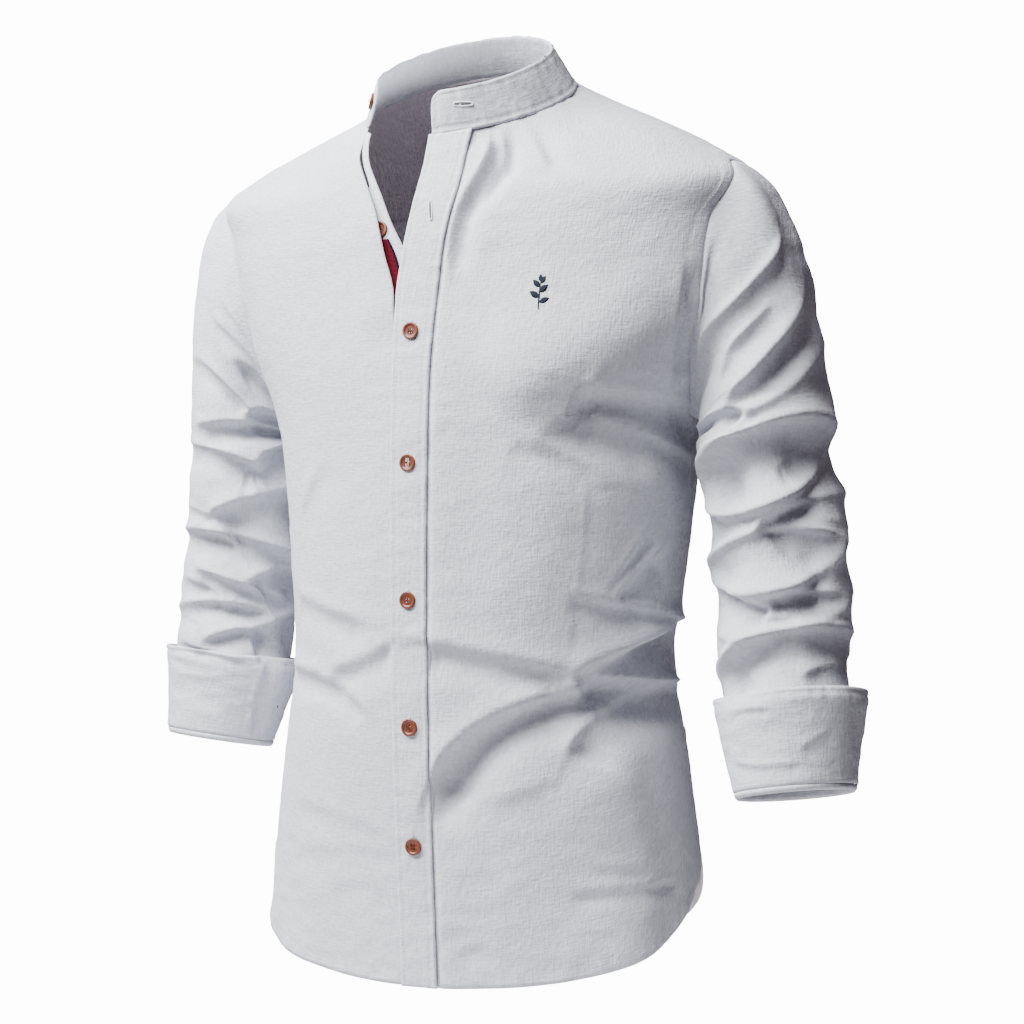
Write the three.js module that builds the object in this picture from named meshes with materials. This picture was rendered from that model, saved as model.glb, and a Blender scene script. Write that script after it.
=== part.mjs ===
// A men's long-sleeved shirt with a stand collar, hollow, as it hangs when it is worn.
// Millimetres. +X is the wearer's left, -Y the front and +Z up. The origin is in the middle of the
// shoulder line, level with the base of the neck, where the wearer's shoulders hold the shirt up.
import * as THREE from "three";

// Driving sizes
const CLOTH = 1.2;
const SEAM_GAP = 0.3;
const NECK_LEVEL = 18;
const PIT_LEVEL = -268;
const SHOULDER_TIP_LEVEL = -52;
const ARMHOLE_FRONT = 54;
const ARMHOLE_BACK = 70;
const ARMHOLE_TOP_Y = -8;
const ARMHOLE_PIT_Y = 10;
const ARMHOLE_POINTED = 0.25;
const SIDE_SEAM_AT_PIT = 5;
const SIDE_SEAM_AT_HEM = 14;
const HEM_FRONT_LEVEL = -743;
const HEM_BACK_LEVEL = -750;
const HEM_SIDE_LEVEL = -643;
const COLLAR_THICK = 2.4;
const COLLAR_LEFT_END = -86;
const COLLAR_RIGHT_END = 219;
const COLLAR_RIM = { halfWidth: 75.5, halfDepth: 68, centreY: -39, height: 58, tilt: 0.49 };
const COLLAR_OVER_PLACKET = { lift: 2.4, until: -75, gone: -50 };
const COLLAR_INSET = 0.6;
const COLLAR_CORNER = { length: 12, drop: 0.3 };
const PLACKET_BOTTOM_LIFT = 2.4;
const PLACKET_THICK = 2;
const LEFT_FRONT_RAISE = 1;
const BAND_TOP = 0.3;
const BAND_WIDTH = 31;
const TAPE_WIDTH = 14;
const TAPE_INSET = 9.5;
const TAPE_THICK = 1;
const FOLD_LIFT = 4;
const FOLD_LIFT_OVER_BUTTON = 1.6;
const LIFT_REACH = 50;
const BUTTON_RADIUS = 7.2;
const BUTTON_THICK = 2.8;
const BUTTON_LINE_X = 1;
const CUFF_HEIGHT = 76;
const CUFF_THICK = 2;
const CUFF_CLEARANCE = 1.2;
const SLEEVE_END = { left: 496, right: 471 };
const TURN_UP = { length: 5, lift: 1.4 };
const SLEEVE_BLEND = 200;

// Counts of cells
const ARMHOLE_STEPS = 30;
const YOKE_FRONT_STEP = 1;
const YOKE_BACK_STEP = 26;
const ROWS_BELOW_PIT = 14;
const ROWS_ON_SHOULDER = 4;
const FRONT_COLUMNS = 10;
const FRONT_CROWDING = 1.3;
const BACK_COLUMNS = 16;
const YOKE_ROWS = 5;

const RAD = Math.PI / 180;
const { cos, sin, abs, hypot, exp } = Math;
const { lerp, clamp, smoothstep } = THREE.MathUtils;

// Builds objects with named columns from the rows of a short table.
const table = (columns, rows) =>
  rows.map((row) => Object.fromEntries(columns.map((name, k) => [name, row[k]])));

// Level sections of the body from hem to neck: half-widths to the wearer's left and right,
// half-depths to front and back, the centre's y, how square the section is, and its tilt.
const BODY = table(
  ["level", "tilt", "left", "right", "front", "back", "centre", "square"],
  [
    [-765, 0, 206, 206, 115, 128, 0, 2.2],
    [-650, 0, 197, 197, 124, 127, 0, 2.2],
    [-560, 0, 184, 183, 131, 124, 0, 2.2],
    [-470, 0, 173, 170, 135, 120, 0, 2.2],
    [-400, 0, 181, 172, 136, 121, 0, 2.25],
    [-330, 0, 190, 177, 136, 125, 0, 2.3],
    [-268, 0, 199, 187, 135, 128, 0, 2.35],
    [-200, 0, 222, 214, 131, 130, 0, 2.4],
    [-150, 0.03, 234, 229, 126, 126, -1, 2.4],
    [-100, 0.08, 242, 240, 121, 117, -3, 2.3],
    [-60, 0.16, 246, 246, 112, 106, -6, 2.15],
    [-38, 0.24, 212, 212, 103, 99, -11, 2.05],
    [-12, 0.35, 158, 158, 92, 90, -18, 2],
    [6, 0.42, 116, 116, 85, 84, -22, 2],
    [NECK_LEVEL, 0.454, 92, 92, 80, 80, -25, 2],
  ],
);

// Sections of each arm below the sleeve head: centre, and half-widths sideways and forwards.
const ARM_COLUMNS = ["along", "x", "y", "z", "side", "front"];
const ARM = {
  left: table(ARM_COLUMNS, [
    [200, 264, 2, -287, 59, 62],
    [270, 273, 0, -356, 60, 61],
    [340, 281, -6, -424, 58, 56],
    [410, 288, -16, -492, 54, 49],
    [450, 294, -22, -532, 51, 46],
    [499, 301, -29, -581, 48, 44],
  ]),
  right: table(ARM_COLUMNS, [
    [200, 247, 8, -287, 51, 60],
    [270, 251, 12, -356, 54, 60],
    [340, 260, 12, -424, 55, 55],
    [405, 266, 8, -490, 53, 48],
    [440, 271, 4, -524, 50, 45],
    [476, 275, 0, -560, 47, 43],
  ]),
};

// Edges of the two fronts by height: the placket's edges, the fold of the right front, and the
// free edge of the button band, which leaves the placket in the open neck.
const FRONT_EDGES = table(
  ["level", "placketLeft", "placketRight", "fold", "bandEdge"],
  [
    [-765, -16, 17.5, -14, 16.8],
    [-300, -16, 18.5, -14, 16.8],
    [-215, -16, 20, -14, 12.5],
    [-185, -16, 22, -16.6, 8.5],
    [-160, -15, 24, -17.5, 1],
    [-127, -11, 27, -26.6, -8],
    [-92, -6, 32, -35, -25],
    [-60, -1.5, 37, -47, -38],
    [-20, 2, 39, -62, -54],
    [NECK_LEVEL, 3.5, 40, -76, -68],
  ],
);

// Folds of the body: three points on each, by angle round the body and level, then half-width
// and height, which is below zero in a trough. Angle 0 is the wearer's left and -90 the front.
const FOLD_COLUMNS = ["a0", "l0", "a1", "l1", "a2", "l2", "half", "height"];
const BODY_FOLDS = table(FOLD_COLUMNS, [
  [-79, -578, -53, -507, 6, -493, 11, -9],
  [-70, -545, -44, -480, -10, -480, 10, 4],
  [-40, -468, -10, -450, 22, -430, 9, 6],
  [-33, -474, -10, -470, 12, -466, 9, -7],
  [-30, -420, -4, -429, 20, -438, 6, 4],
  [-30, -404, -8, -410, 14, -414, 9, -5],
  [-43, -419, -27, -432, -12, -436, 6, -3],
  [-84, -456, -66, -466, -50, -477, 8, -3],
  [-158, -421, -135, -430, -112, -440, 7, -3],
  [-128, -482, -112, -475, -96, -456, 8, -3],
  [-152, -480, -128, -490, -103, -513, 9, -4],
  [-42, -537, -28, -512, -6, -498, 7, 4],
  [-51, -201, -42, -207, -34, -211, 6, -2],
  [-51, -281, -41, -293, -28, -300, 8, -2],
  [-65, -281, -53, -293, -43, -310, 7, -2],
  [-31, -155, -27, -200, -6, -256, 9, -5],
  [-52, -654, -37, -654, -19, -642, 8, -3],
  [-84, -669, -74, -668, -62, -663, 7, -2],
  [-53, -5, -72, -62, -82, -146, 7, -6],
  [-60, -20, -66, -60, -70, -110, 9, 3],
  [28, -486, 62, -462, 100, -470, 11, -7],
  [152, -452, 120, -470, 84, -494, 11, -7],
  [20, -428, 46, -440, 76, -450, 9, -3],
  [162, -500, 136, -505, 112, -520, 10, -6],
  [24, -540, 44, -520, 70, -512, 10, 3],
  [24, -190, 32, -250, 38, -310, 9, -4],
  [156, -190, 148, -250, 141, -310, 9, -4],
  [60, -110, 66, -170, 70, -240, 9, -2],
  [120, -110, 114, -175, 111, -250, 9, -2],
  [34, -640, 52, -655, 74, -650, 10, -3],
  [146, -640, 130, -650, 110, -640, 10, -3],
]);

// Folds of the sleeves: by distance along the sleeve and angle round it. Angle 0 is the outer
// side, 90 the front, 180 the side next to the body.
const SLEEVE_COLUMNS = ["l0", "a0", "l1", "a1", "l2", "a2", "half", "height"];
const SLEEVE_FOLDS = {
  left: table(SLEEVE_COLUMNS, [
    [78, 17, 88, 57, 70, 103, 8, 4],
    [84, 22, 98, 57, 108, 86, 7, -6],
    [118, 10, 150, 50, 148, 92, 8, -8],
    [148, 5, 160, 38, 174, 70, 7, 6],
    [132, 119, 176, 92, 172, 76, 7, -6],
    [198, 116, 192, 60, 184, -22, 7, 6],
    [212, 116, 201, 66, 194, 20, 9, -8],
    [202, -6, 240, 60, 244, 123, 9, 7],
    [250, 128, 262, 100, 262, 80, 7, -6],
    [252, -8, 260, 46, 276, 90, 7, 6],
    [294, 132, 283, 82, 286, 10, 8, -8],
    [290, 4, 326, 62, 322, 136, 9, 7],
    [338, 130, 346, 100, 338, 10, 7, -4],
    [356, 112, 364, 84, 358, 54, 7, -4],
    [394, 134, 372, 72, 370, -10, 9, -8],
    [412, 66, 403, 36, 400, -20, 7, -4],
    [92, -20, 130, -60, 150, -100, 9, -7],
    [170, -24, 205, -70, 214, -130, 9, -7],
    [238, -20, 262, -75, 258, -140, 9, 6],
    [270, -24, 292, -80, 284, -140, 9, -8],
    [330, -14, 338, -80, 326, -136, 9, -7],
    [376, -24, 388, -80, 372, -130, 8, -7],
  ]),
  right: table(SLEEVE_COLUMNS, [
    [74, 72, 49, 94, 14, 112, 7, -4],
    [105, 50, 89, 84, 30, 114, 7, 4],
    [128, 56, 118, 85, 112, 117, 8, -6],
    [126, 120, 85, 135, 45, 150, 7, -4],
    [175, 66, 152, 100, 76, 151, 7, 4],
    [204, 40, 206, 100, 214, 166, 9, -7],
    [232, 50, 236, 100, 226, 160, 9, 4],
    [260, 96, 246, 130, 237, 172, 7, -4],
    [286, 40, 284, 105, 296, 172, 9, -8],
    [304, 60, 306, 110, 318, 160, 8, 6],
    [322, 80, 327, 120, 340, 166, 7, -6],
    [357, 40, 349, 92, 349, 134, 7, -6],
    [323, 130, 315, 158, 307, 190, 8, -6],
    [384, 88, 372, 120, 372, 160, 7, -6],
    [365, 138, 360, 170, 353, 205, 7, -6],
    [100, -30, 138, -70, 156, -112, 9, -7],
    [178, -20, 210, -70, 206, -130, 9, -7],
    [250, -14, 270, -80, 262, -140, 9, -8],
    [300, -24, 312, -80, 298, -136, 9, 6],
    [330, -10, 340, -80, 326, -134, 9, -7],
    [372, -30, 380, -90, 366, -136, 8, -6],
  ]),
};

const CUFF_OPENING = { from: -75, to: -35 };
const CUFF_FLARE = table(
  ["angle", "flare"],
  [
    [-35, 13],
    [20, 7],
    [90, 4],
    [180, 8],
    [285, 8],
  ],
);

// Levels of the five fastened buttons, from the top.
const BUTTON_LEVELS = [-196.5, -306, -419.7, -525.1, -624.6];
const OPEN_BUTTON_LEVEL = -100;
const OPEN_BUTTON_IN_FOLD = 2;
const COLLAR_BUTTON = { rise: 0.55, fromEnd: 9 };

const LINEN = { color: 0xd0d2d9, roughness: 0.92, metalness: 0 };
const WOOD = { color: 0x8a4b33, roughness: 0.45, metalness: 0 };
const RIBBON = { color: 0xb02438, roughness: 0.7, metalness: 0 };

// Value of a column at a place along a table, on a smooth curve through its rows.
function along(rows, key, column, place) {
  const last = rows.length - 1;
  let k = 0;
  while (k < last - 1 && rows[k + 1][key] < place) k += 1;
  const slope = (i) => (rows[i + 1][column] - rows[i][column]) / (rows[i + 1][key] - rows[i][key]);
  const step = (i) => rows[i + 1][key] - rows[i][key];
  const tangent = (i) => {
    if (i === 0) return slope(0);
    if (i === last) return slope(last - 1);
    return (slope(i - 1) * step(i) + slope(i) * step(i - 1)) / (step(i) + step(i - 1));
  };
  const t = clamp((place - rows[k][key]) / step(k), 0, 1);
  const a = rows[k][column];
  const b = rows[k + 1][column];
  const rise = 3 * t * t - 2 * t * t * t;
  const leave = t * (1 - t) * (1 - t);
  const arrive = t * t * (t - 1);
  return a + (b - a) * rise + step(k) * (tangent(k) * leave + tangent(k + 1) * arrive);
}

// Height of the folds at a place, where one unit of each direction is a length in millimetres.
function foldHeight(folds, around, lengthwise, perDegree) {
  let height = 0;
  for (const fold of folds) {
    const turn = 360 * Math.round((around - fold.a1) / 360);
    const x = (around - turn) * perDegree;
    let nearest = Infinity;
    let at = 0;
    const pieces = 8;
    for (let k = 0; k < pieces; k += 1) {
      const p = foldPoint(fold, k / pieces, perDegree);
      const q = foldPoint(fold, (k + 1) / pieces, perDegree);
      const dx = q.x - p.x;
      const dy = q.y - p.y;
      const t = clamp(((x - p.x) * dx + (lengthwise - p.y) * dy) / (dx * dx + dy * dy), 0, 1);
      const distance = hypot(x - p.x - dx * t, lengthwise - p.y - dy * t);
      if (distance < nearest) {
        nearest = distance;
        at = (k + t) / pieces;
      }
    }
    const taper = smoothstep(at, -0.2, 0.3) * (1 - smoothstep(at, 0.7, 1.2));
    height += fold.height * taper * exp(-((nearest / fold.half) ** 2));
  }
  return height;
}

function foldPoint(fold, t, perDegree) {
  const bend = (p, q, r) => lerp(p, r, t) + 4 * t * (1 - t) * (q - (p + r) / 2);
  return { x: bend(fold.a0, fold.a1, fold.a2) * perDegree, y: bend(fold.l0, fold.l1, fold.l2) };
}

const BODY_PER_DEGREE = 2.8;
const SLEEVE_PER_DEGREE = 0.96;

const bodySize = (level, column) => along(BODY, "level", column, level);

// A point of the plain body form.
function bodyForm(level, degrees) {
  const c = cos(degrees * RAD);
  const s = sin(degrees * RAD);
  const n = bodySize(level, "square");
  const width = bodySize(level, c > 0 ? "left" : "right");
  const depth = bodySize(level, s < 0 ? "front" : "back");
  const k = (abs(c) ** n + abs(s) ** n) ** (-1 / n);
  const y = bodySize(level, "centre") + depth * s * k;
  return new THREE.Vector3(width * c * k, y, level + bodySize(level, "tilt") * y);
}

function bodyNormal(level, degrees) {
  const step = 0.5;
  const up = bodyForm(level + step, degrees).sub(bodyForm(level - step, degrees));
  const round = bodyForm(level, degrees + step).sub(bodyForm(level, degrees - step));
  return round.cross(up).normalize();
}

// A point of the body's cloth, lifted off the form by a length.
function onBody(level, degrees, lift) {
  const fold = foldHeight(BODY_FOLDS, degrees, level, BODY_PER_DEGREE);
  return bodyForm(level, degrees).addScaledVector(bodyNormal(level, degrees), fold + lift);
}

// The angle at which the front has a given x.
function angleAtX(level, x) {
  const n = bodySize(level, "square");
  const share = x / bodySize(level, x > 0 ? "left" : "right");
  return Math.atan2(-((1 - abs(share) ** n) ** (1 / n)), share) / RAD;
}

const edgeX = (level, column) => along(FRONT_EDGES, "level", column, level);

// Level and angle of the armhole's edge. Degrees run from the shoulder tip over the front.
function armhole(degrees, side, grow) {
  const middle = (PIT_LEVEL + SHOULDER_TIP_LEVEL) / 2;
  const half = (SHOULDER_TIP_LEVEL - PIT_LEVEL) / 2 + grow;
  const c = cos(degrees * RAD);
  const s = sin(degrees * RAD);
  const level = middle + half * c;
  const reach = (s > 0 ? ARMHOLE_FRONT : ARMHOLE_BACK) + grow;
  const y = lerp(ARMHOLE_TOP_Y, ARMHOLE_PIT_Y, (1 - c) / 2) - reach * s * abs(s) ** ARMHOLE_POINTED;
  const centre = bodySize(level, "centre");
  const n = bodySize(level, "square");
  const share = clamp((y - centre) / bodySize(level, y < centre ? "front" : "back"), -1, 1);
  const across = (1 - abs(share) ** n) ** (1 / n);
  const angle = Math.atan2(share, across) / RAD;
  return { level, angle: side === "left" ? angle : 180 - angle };
}

const armholeStep = 360 / ARMHOLE_STEPS;
const yokeFrontCorner = armhole(YOKE_FRONT_STEP * armholeStep, "left", 0);
const yokeBackCorner = armhole(YOKE_BACK_STEP * armholeStep, "left", 0);
const YOKE_FRONT_AT_NECK = -16;
const YOKE_BACK_AT_NECK = 30;

function yokeFrontAngle(level) {
  const t = (level - yokeFrontCorner.level) / (NECK_LEVEL - yokeFrontCorner.level);
  return lerp(yokeFrontCorner.angle, YOKE_FRONT_AT_NECK, t);
}

// The hem's level round the body, and how squarely its curves leave the middle.
const HEM_CURVE = { front: 2.2, back: 1.6 };
function hemLevel(degrees) {
  const front = degrees < SIDE_SEAM_AT_HEM || degrees > 180 - SIDE_SEAM_AT_HEM;
  if (front) {
    const turn = abs(degrees > 90 ? degrees - 270 : degrees + 90) / (90 + SIDE_SEAM_AT_HEM);
    return lerp(HEM_FRONT_LEVEL, HEM_SIDE_LEVEL, turn ** HEM_CURVE.front);
  }
  const turn = abs(degrees - 90) / (90 - SIDE_SEAM_AT_HEM);
  return lerp(HEM_BACK_LEVEL, HEM_SIDE_LEVEL, turn ** HEM_CURVE.back);
}

const sideSeam = (rise) => lerp(SIDE_SEAM_AT_HEM, SIDE_SEAM_AT_PIT, smoothstep(rise, 0.2, 1));

// Angle that a length takes up round the body.
const degreesFor = (length) => length / BODY_PER_DEGREE;

// A closed body from an outer and an inner grid of points.
function wall(outer, inner, closedRound) {
  const rows = outer.length;
  const columns = outer[0].length;
  const points = [...outer.flat(), ...inner.flat()];
  const index = [];
  const quad = (a, b, c, d) => index.push(a, b, c, a, c, d);
  const at = (i, j, face) => face * rows * columns + i * columns + (j % columns);
  const spans = closedRound ? columns : columns - 1;
  for (let j = 0; j < spans; j += 1) {
    for (let i = 0; i < rows - 1; i += 1) {
      quad(at(i, j, 0), at(i, j + 1, 0), at(i + 1, j + 1, 0), at(i + 1, j, 0));
      quad(at(i, j, 1), at(i + 1, j, 1), at(i + 1, j + 1, 1), at(i, j + 1, 1));
    }
    quad(at(0, j, 0), at(0, j, 1), at(0, j + 1, 1), at(0, j + 1, 0));
    quad(at(rows - 1, j, 0), at(rows - 1, j + 1, 0), at(rows - 1, j + 1, 1), at(rows - 1, j, 1));
  }
  if (!closedRound) {
    const end = columns - 1;
    for (let i = 0; i < rows - 1; i += 1) {
      quad(at(i, 0, 0), at(i + 1, 0, 0), at(i + 1, 0, 1), at(i, 0, 1));
      quad(at(i, end, 0), at(i, end, 1), at(i + 1, end, 1), at(i + 1, end, 0));
    }
  }
  return outwardBody(points, index);
}

// A geometry whose faces point out, whichever way round its grid was walked.
function outwardBody(points, index) {
  const edge = new THREE.Vector3();
  let volume = 0;
  for (let k = 0; k < index.length; k += 3) {
    const [a, b, c] = [points[index[k]], points[index[k + 1]], points[index[k + 2]]];
    volume += a.dot(edge.crossVectors(b, c));
  }
  const turned = volume < 0 ? [...index].reverse() : index;
  const geometry = new THREE.BufferGeometry();
  geometry.setAttribute("position", new THREE.Float32BufferAttribute(points.flatMap((p) => p.toArray()), 3));
  geometry.setIndex(turned);
  geometry.computeVertexNormals();
  return geometry;
}

// Both grids of a wall whose faces are lifted off the body by lengths that may change.
function bodyWall(places, top, thick) {
  const lift = (place) => (typeof top === "function" ? top(place) : top);
  const outer = places.map((row) => row.map((p) => onBody(p.level, p.angle, lift(p))));
  const inner = places.map((row) => row.map((p) => onBody(p.level, p.angle, lift(p) - thick)));
  return wall(outer, inner, false);
}

// Rows of places between two edges. Below the pit each row rises from the hem.
function placesBetween(rows, columns, edges, crowding) {
  return rows.map((row) => {
    const [from, to] = edges(row);
    return Array.from({ length: columns + 1 }, (_, j) => {
      const angle = lerp(from, to, (j / columns) ** crowding);
      const level = row.rise === undefined ? row.level : lerp(hemLevel(angle), PIT_LEVEL, row.rise);
      return { level, angle };
    });
  });
}

const rowsBelowPit = Array.from({ length: ROWS_BELOW_PIT }, (_, k) => ({ rise: k / ROWS_BELOW_PIT }));

const half = SEAM_GAP / 2;

// Rows of a front: from the hem, past the armhole, to the neck.
function frontRows() {
  const rows = [...rowsBelowPit];
  for (let k = ARMHOLE_STEPS / 2; k >= YOKE_FRONT_STEP; k -= 1) {
    const edge = armhole(k * armholeStep, "left", half);
    rows.push({ level: edge.level, angle: edge.angle - (k === YOKE_FRONT_STEP ? degreesFor(half) : 0) });
  }
  rows[ROWS_BELOW_PIT].angle -= degreesFor(half);
  for (let k = 1; k <= ROWS_ON_SHOULDER; k += 1) {
    const level = lerp(yokeFrontCorner.level, NECK_LEVEL, k / ROWS_ON_SHOULDER);
    rows.push({ level, angle: yokeFrontAngle(level) - 3 * degreesFor(half) });
  }
  return rows;
}

const rowLevel = (row) => (row.rise === undefined ? row.level : lerp(HEM_FRONT_LEVEL, PIT_LEVEL, row.rise));

const rowOuterAngle = (row) => (row.rise === undefined ? row.angle : sideSeam(row.rise) - degreesFor(half));

// From 1 on the front to 0 at the collar seam, where nothing may stand proud.
const belowCollar = (level) => 1 - smoothstep(level, -15, 10);

// Height of the left front beside the placket, on which it is sewn.
function leftFrontLift(place) {
  const x = bodyForm(place.level, place.angle).x;
  const past = x - edgeX(place.level, "placketRight");
  const raise = (PLACKET_BOTTOM_LIFT + LEFT_FRONT_RAISE) * belowCollar(place.level);
  return raise * (1 - smoothstep(past, 0, LIFT_REACH));
}

function frontLeft() {
  const places = placesBetween(frontRows(), FRONT_COLUMNS, (row) => {
    const level = rowLevel(row);
    return [angleAtX(level, edgeX(level, "placketRight") + SEAM_GAP), rowOuterAngle(row)];
  }, FRONT_CROWDING);
  return bodyWall(places, leftFrontLift, CLOTH);
}

// Height of the right front's fold over the button band in the open neck.
const OPEN_NECK = { starts: -205, open: -170, buttonHalf: 22 };
function rightFrontLift(place) {
  const x = bodyForm(place.level, place.angle).x;
  const past = edgeX(place.level, "fold") - x;
  const overButton = exp(-(((place.level - OPEN_BUTTON_LEVEL) / OPEN_NECK.buttonHalf) ** 2));
  const lift = FOLD_LIFT + FOLD_LIFT_OVER_BUTTON * overButton;
  const open = smoothstep(place.level, OPEN_NECK.starts, OPEN_NECK.open) * belowCollar(place.level);
  return lift * open * (1 - smoothstep(past, 0, LIFT_REACH));
}

function frontRight() {
  const places = placesBetween(frontRows(), FRONT_COLUMNS, (row) => {
    const level = rowLevel(row);
    return [angleAtX(level, edgeX(level, "fold")) + 360, 180 - rowOuterAngle(row)];
  }, FRONT_CROWDING);
  return bodyWall(places, rightFrontLift, CLOTH);
}

function back() {
  const rows = rowsBelowPit.map((row) => ({ ...row, angle: sideSeam(row.rise) + degreesFor(half) }));
  for (let k = ARMHOLE_STEPS / 2; k <= YOKE_BACK_STEP; k += 1) {
    const edge = armhole(k * armholeStep, "left", half);
    rows.push(edge);
  }
  rows[ROWS_BELOW_PIT].angle += degreesFor(half);
  rows[rows.length - 1].level -= half;
  const places = placesBetween(rows, BACK_COLUMNS, (row) => [row.angle, 180 - row.angle], 1);
  return bodyWall(places, 0, CLOTH);
}

// The yoke runs over both shoulders, from the armholes and the back seam to the neck.
function yoke() {
  const outline = [];
  const reach = YOKE_FRONT_STEP + ARMHOLE_STEPS - YOKE_BACK_STEP;
  for (let k = 0; k <= reach; k += 1) {
    const edge = armhole((YOKE_FRONT_STEP - k) * armholeStep, "left", half);
    outline.push({ outer: edge, neck: lerp(YOKE_FRONT_AT_NECK, YOKE_BACK_AT_NECK, k / reach) });
  }
  outline[0].outer.angle += degreesFor(half);
  outline[reach].outer.level += half;
  const corner = outline[reach];
  for (let k = 1; k <= BACK_COLUMNS / 2; k += 1) {
    const t = (2 * k) / BACK_COLUMNS;
    const outer = { level: corner.outer.level, angle: lerp(corner.outer.angle, 90, t) };
    outline.push({ outer, neck: lerp(corner.neck, 90, t) });
  }
  const mirrored = outline.slice(0, -1).reverse().map(({ outer, neck }) => ({
    outer: { level: outer.level, angle: 180 - outer.angle },
    neck: 180 - neck,
  }));
  const whole = [...outline, ...mirrored];
  const places = Array.from({ length: YOKE_ROWS + 1 }, (_, i) =>
    whole.map(({ outer, neck }) => ({
      level: lerp(outer.level, NECK_LEVEL, i / YOKE_ROWS),
      angle: lerp(outer.angle, neck, i / YOKE_ROWS),
    })),
  );
  return bodyWall(places, 0, CLOTH);
}

// A strip that lies along the front between two edges given by x.
const STRIP_LEVELS = 28;
function strip(from, to, bottom, top, columns, lift, thick) {
  const places = Array.from({ length: STRIP_LEVELS + 1 }, (_, i) => {
    const level = lerp(bottom, top, i / STRIP_LEVELS);
    const left = angleAtX(level, from(level));
    const right = angleAtX(level, to(level));
    const columnAt = (_, j) => ({ level, angle: lerp(left, right, j / columns) });
    return Array.from({ length: columns + 1 }, columnAt);
  });
  return bodyWall(places, lift, thick);
}

const STRIP_TOP = NECK_LEVEL - 2;

function placket() {
  const left = (level) => edgeX(level, "placketLeft");
  const right = (level) => edgeX(level, "placketRight");
  const lift = PLACKET_BOTTOM_LIFT + PLACKET_THICK;
  return strip(left, right, HEM_FRONT_LEVEL, STRIP_TOP, 2, lift, PLACKET_THICK);
}

// The band is covered by the right front's fold only in the middle of the open neck.
const BAND_OVERLAP = { reach: 22, clearance: 1.2, starts: -175, full: -140, shrinks: -80, gone: -45 };
function bandOverlap(level) {
  const { reach, clearance, starts, full, shrinks, gone } = BAND_OVERLAP;
  const covered = smoothstep(level, starts, full) * (1 - smoothstep(level, shrinks, gone));
  return lerp(-clearance, reach, covered);
}

function buttonBand() {
  const left = (level) =>
    Math.max(edgeX(level, "fold") - bandOverlap(level), edgeX(level, "bandEdge") - BAND_WIDTH);
  const right = (level) => edgeX(level, "bandEdge");
  return strip(left, right, HEM_FRONT_LEVEL, STRIP_TOP - 1, 2, BAND_TOP, CLOTH + BAND_TOP);
}

// The tape starts above the hem and ends under the open button.
const TAPE_ENDS = { aboveHem: 12, belowButton: 10 };
function bandTape() {
  const right = (level) => edgeX(level, "bandEdge") - TAPE_INSET;
  const left = (level) => right(level) - TAPE_WIDTH;
  const lift = BAND_TOP + SEAM_GAP + TAPE_THICK;
  const bottom = HEM_FRONT_LEVEL + TAPE_ENDS.aboveHem;
  return strip(left, right, bottom, OPEN_BUTTON_LEVEL - TAPE_ENDS.belowButton, 1, lift, TAPE_THICK);
}

// The stand collar, from the seam on the neck to its rim. Its front corner is rounded.
const COLLAR_COLUMNS = 32;
const COLLAR_ROWS = 3;
const COLLAR_PER_DEGREE = 1.4;

function collarForm(rise, degrees) {
  const base = bodyForm(NECK_LEVEL, degrees);
  const { halfWidth, halfDepth, centreY, height, tilt } = COLLAR_RIM;
  const y = centreY + halfDepth * sin(degrees * RAD);
  const rim = new THREE.Vector3(halfWidth * cos(degrees * RAD), y, height + tilt * y);
  const along = rim.clone().sub(base);
  const start = SEAM_GAP / along.length();
  const point = base.addScaledVector(along, lerp(start, 1, rise));
  const round = new THREE.Vector3(-sin(degrees * RAD), cos(degrees * RAD), 0);
  return { point, normal: round.cross(along).normalize() };
}

function collar() {
  const angles = Array.from({ length: COLLAR_COLUMNS + 1 }, (_, j) =>
    lerp(COLLAR_LEFT_END, COLLAR_RIGHT_END, j / COLLAR_COLUMNS),
  );
  const { lift: over, until, gone } = COLLAR_OVER_PLACKET;
  const face = (lift) =>
    Array.from({ length: COLLAR_ROWS + 1 }, (_, i) =>
      angles.map((angle) => {
        const fromEnd = Math.min(angle - COLLAR_LEFT_END, COLLAR_RIGHT_END - angle) * COLLAR_PER_DEGREE;
        const corner = 1 - clamp(fromEnd / COLLAR_CORNER.length, 0, 1);
        const drop = COLLAR_CORNER.drop * (1 - Math.sqrt(1 - corner * corner));
        const rise = (i / COLLAR_ROWS) * (1 - drop);
        const { point, normal } = collarForm(rise, angle);
        const overPlacket = over * (1 - smoothstep(angle, until, gone));
        return point.addScaledVector(normal, lift + overPlacket);
      }),
    );
  return wall(face(COLLAR_THICK - COLLAR_INSET), face(-COLLAR_INSET), false);
}

// A point and outward normal of the plain sleeve. Degrees run from the outer side over the front.
function armForm(distance, degrees, side) {
  const rows = ARM[side];
  const hand = side === "left" ? 1 : -1;
  const centre = (d) => new THREE.Vector3(
    hand * along(rows, "along", "x", d),
    along(rows, "along", "y", d),
    along(rows, "along", "z", d),
  );
  const end = rows[rows.length - 1].along;
  const low = clamp(distance - 1, rows[0].along, end);
  const high = clamp(distance + 1, rows[0].along, end);
  const axis = centre(high).sub(centre(low)).normalize();
  const sideways = new THREE.Vector3(hand, 0, 0).addScaledVector(axis, -hand * axis.x).normalize();
  const forwards = new THREE.Vector3().crossVectors(axis, sideways);
  forwards.multiplyScalar(forwards.y < 0 ? 1 : -1);
  const point = centre(distance)
    .addScaledVector(sideways, along(rows, "along", "side", distance) * cos(degrees * RAD))
    .addScaledVector(forwards, along(rows, "along", "front", distance) * sin(degrees * RAD));
  return { point, axis };
}

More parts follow.
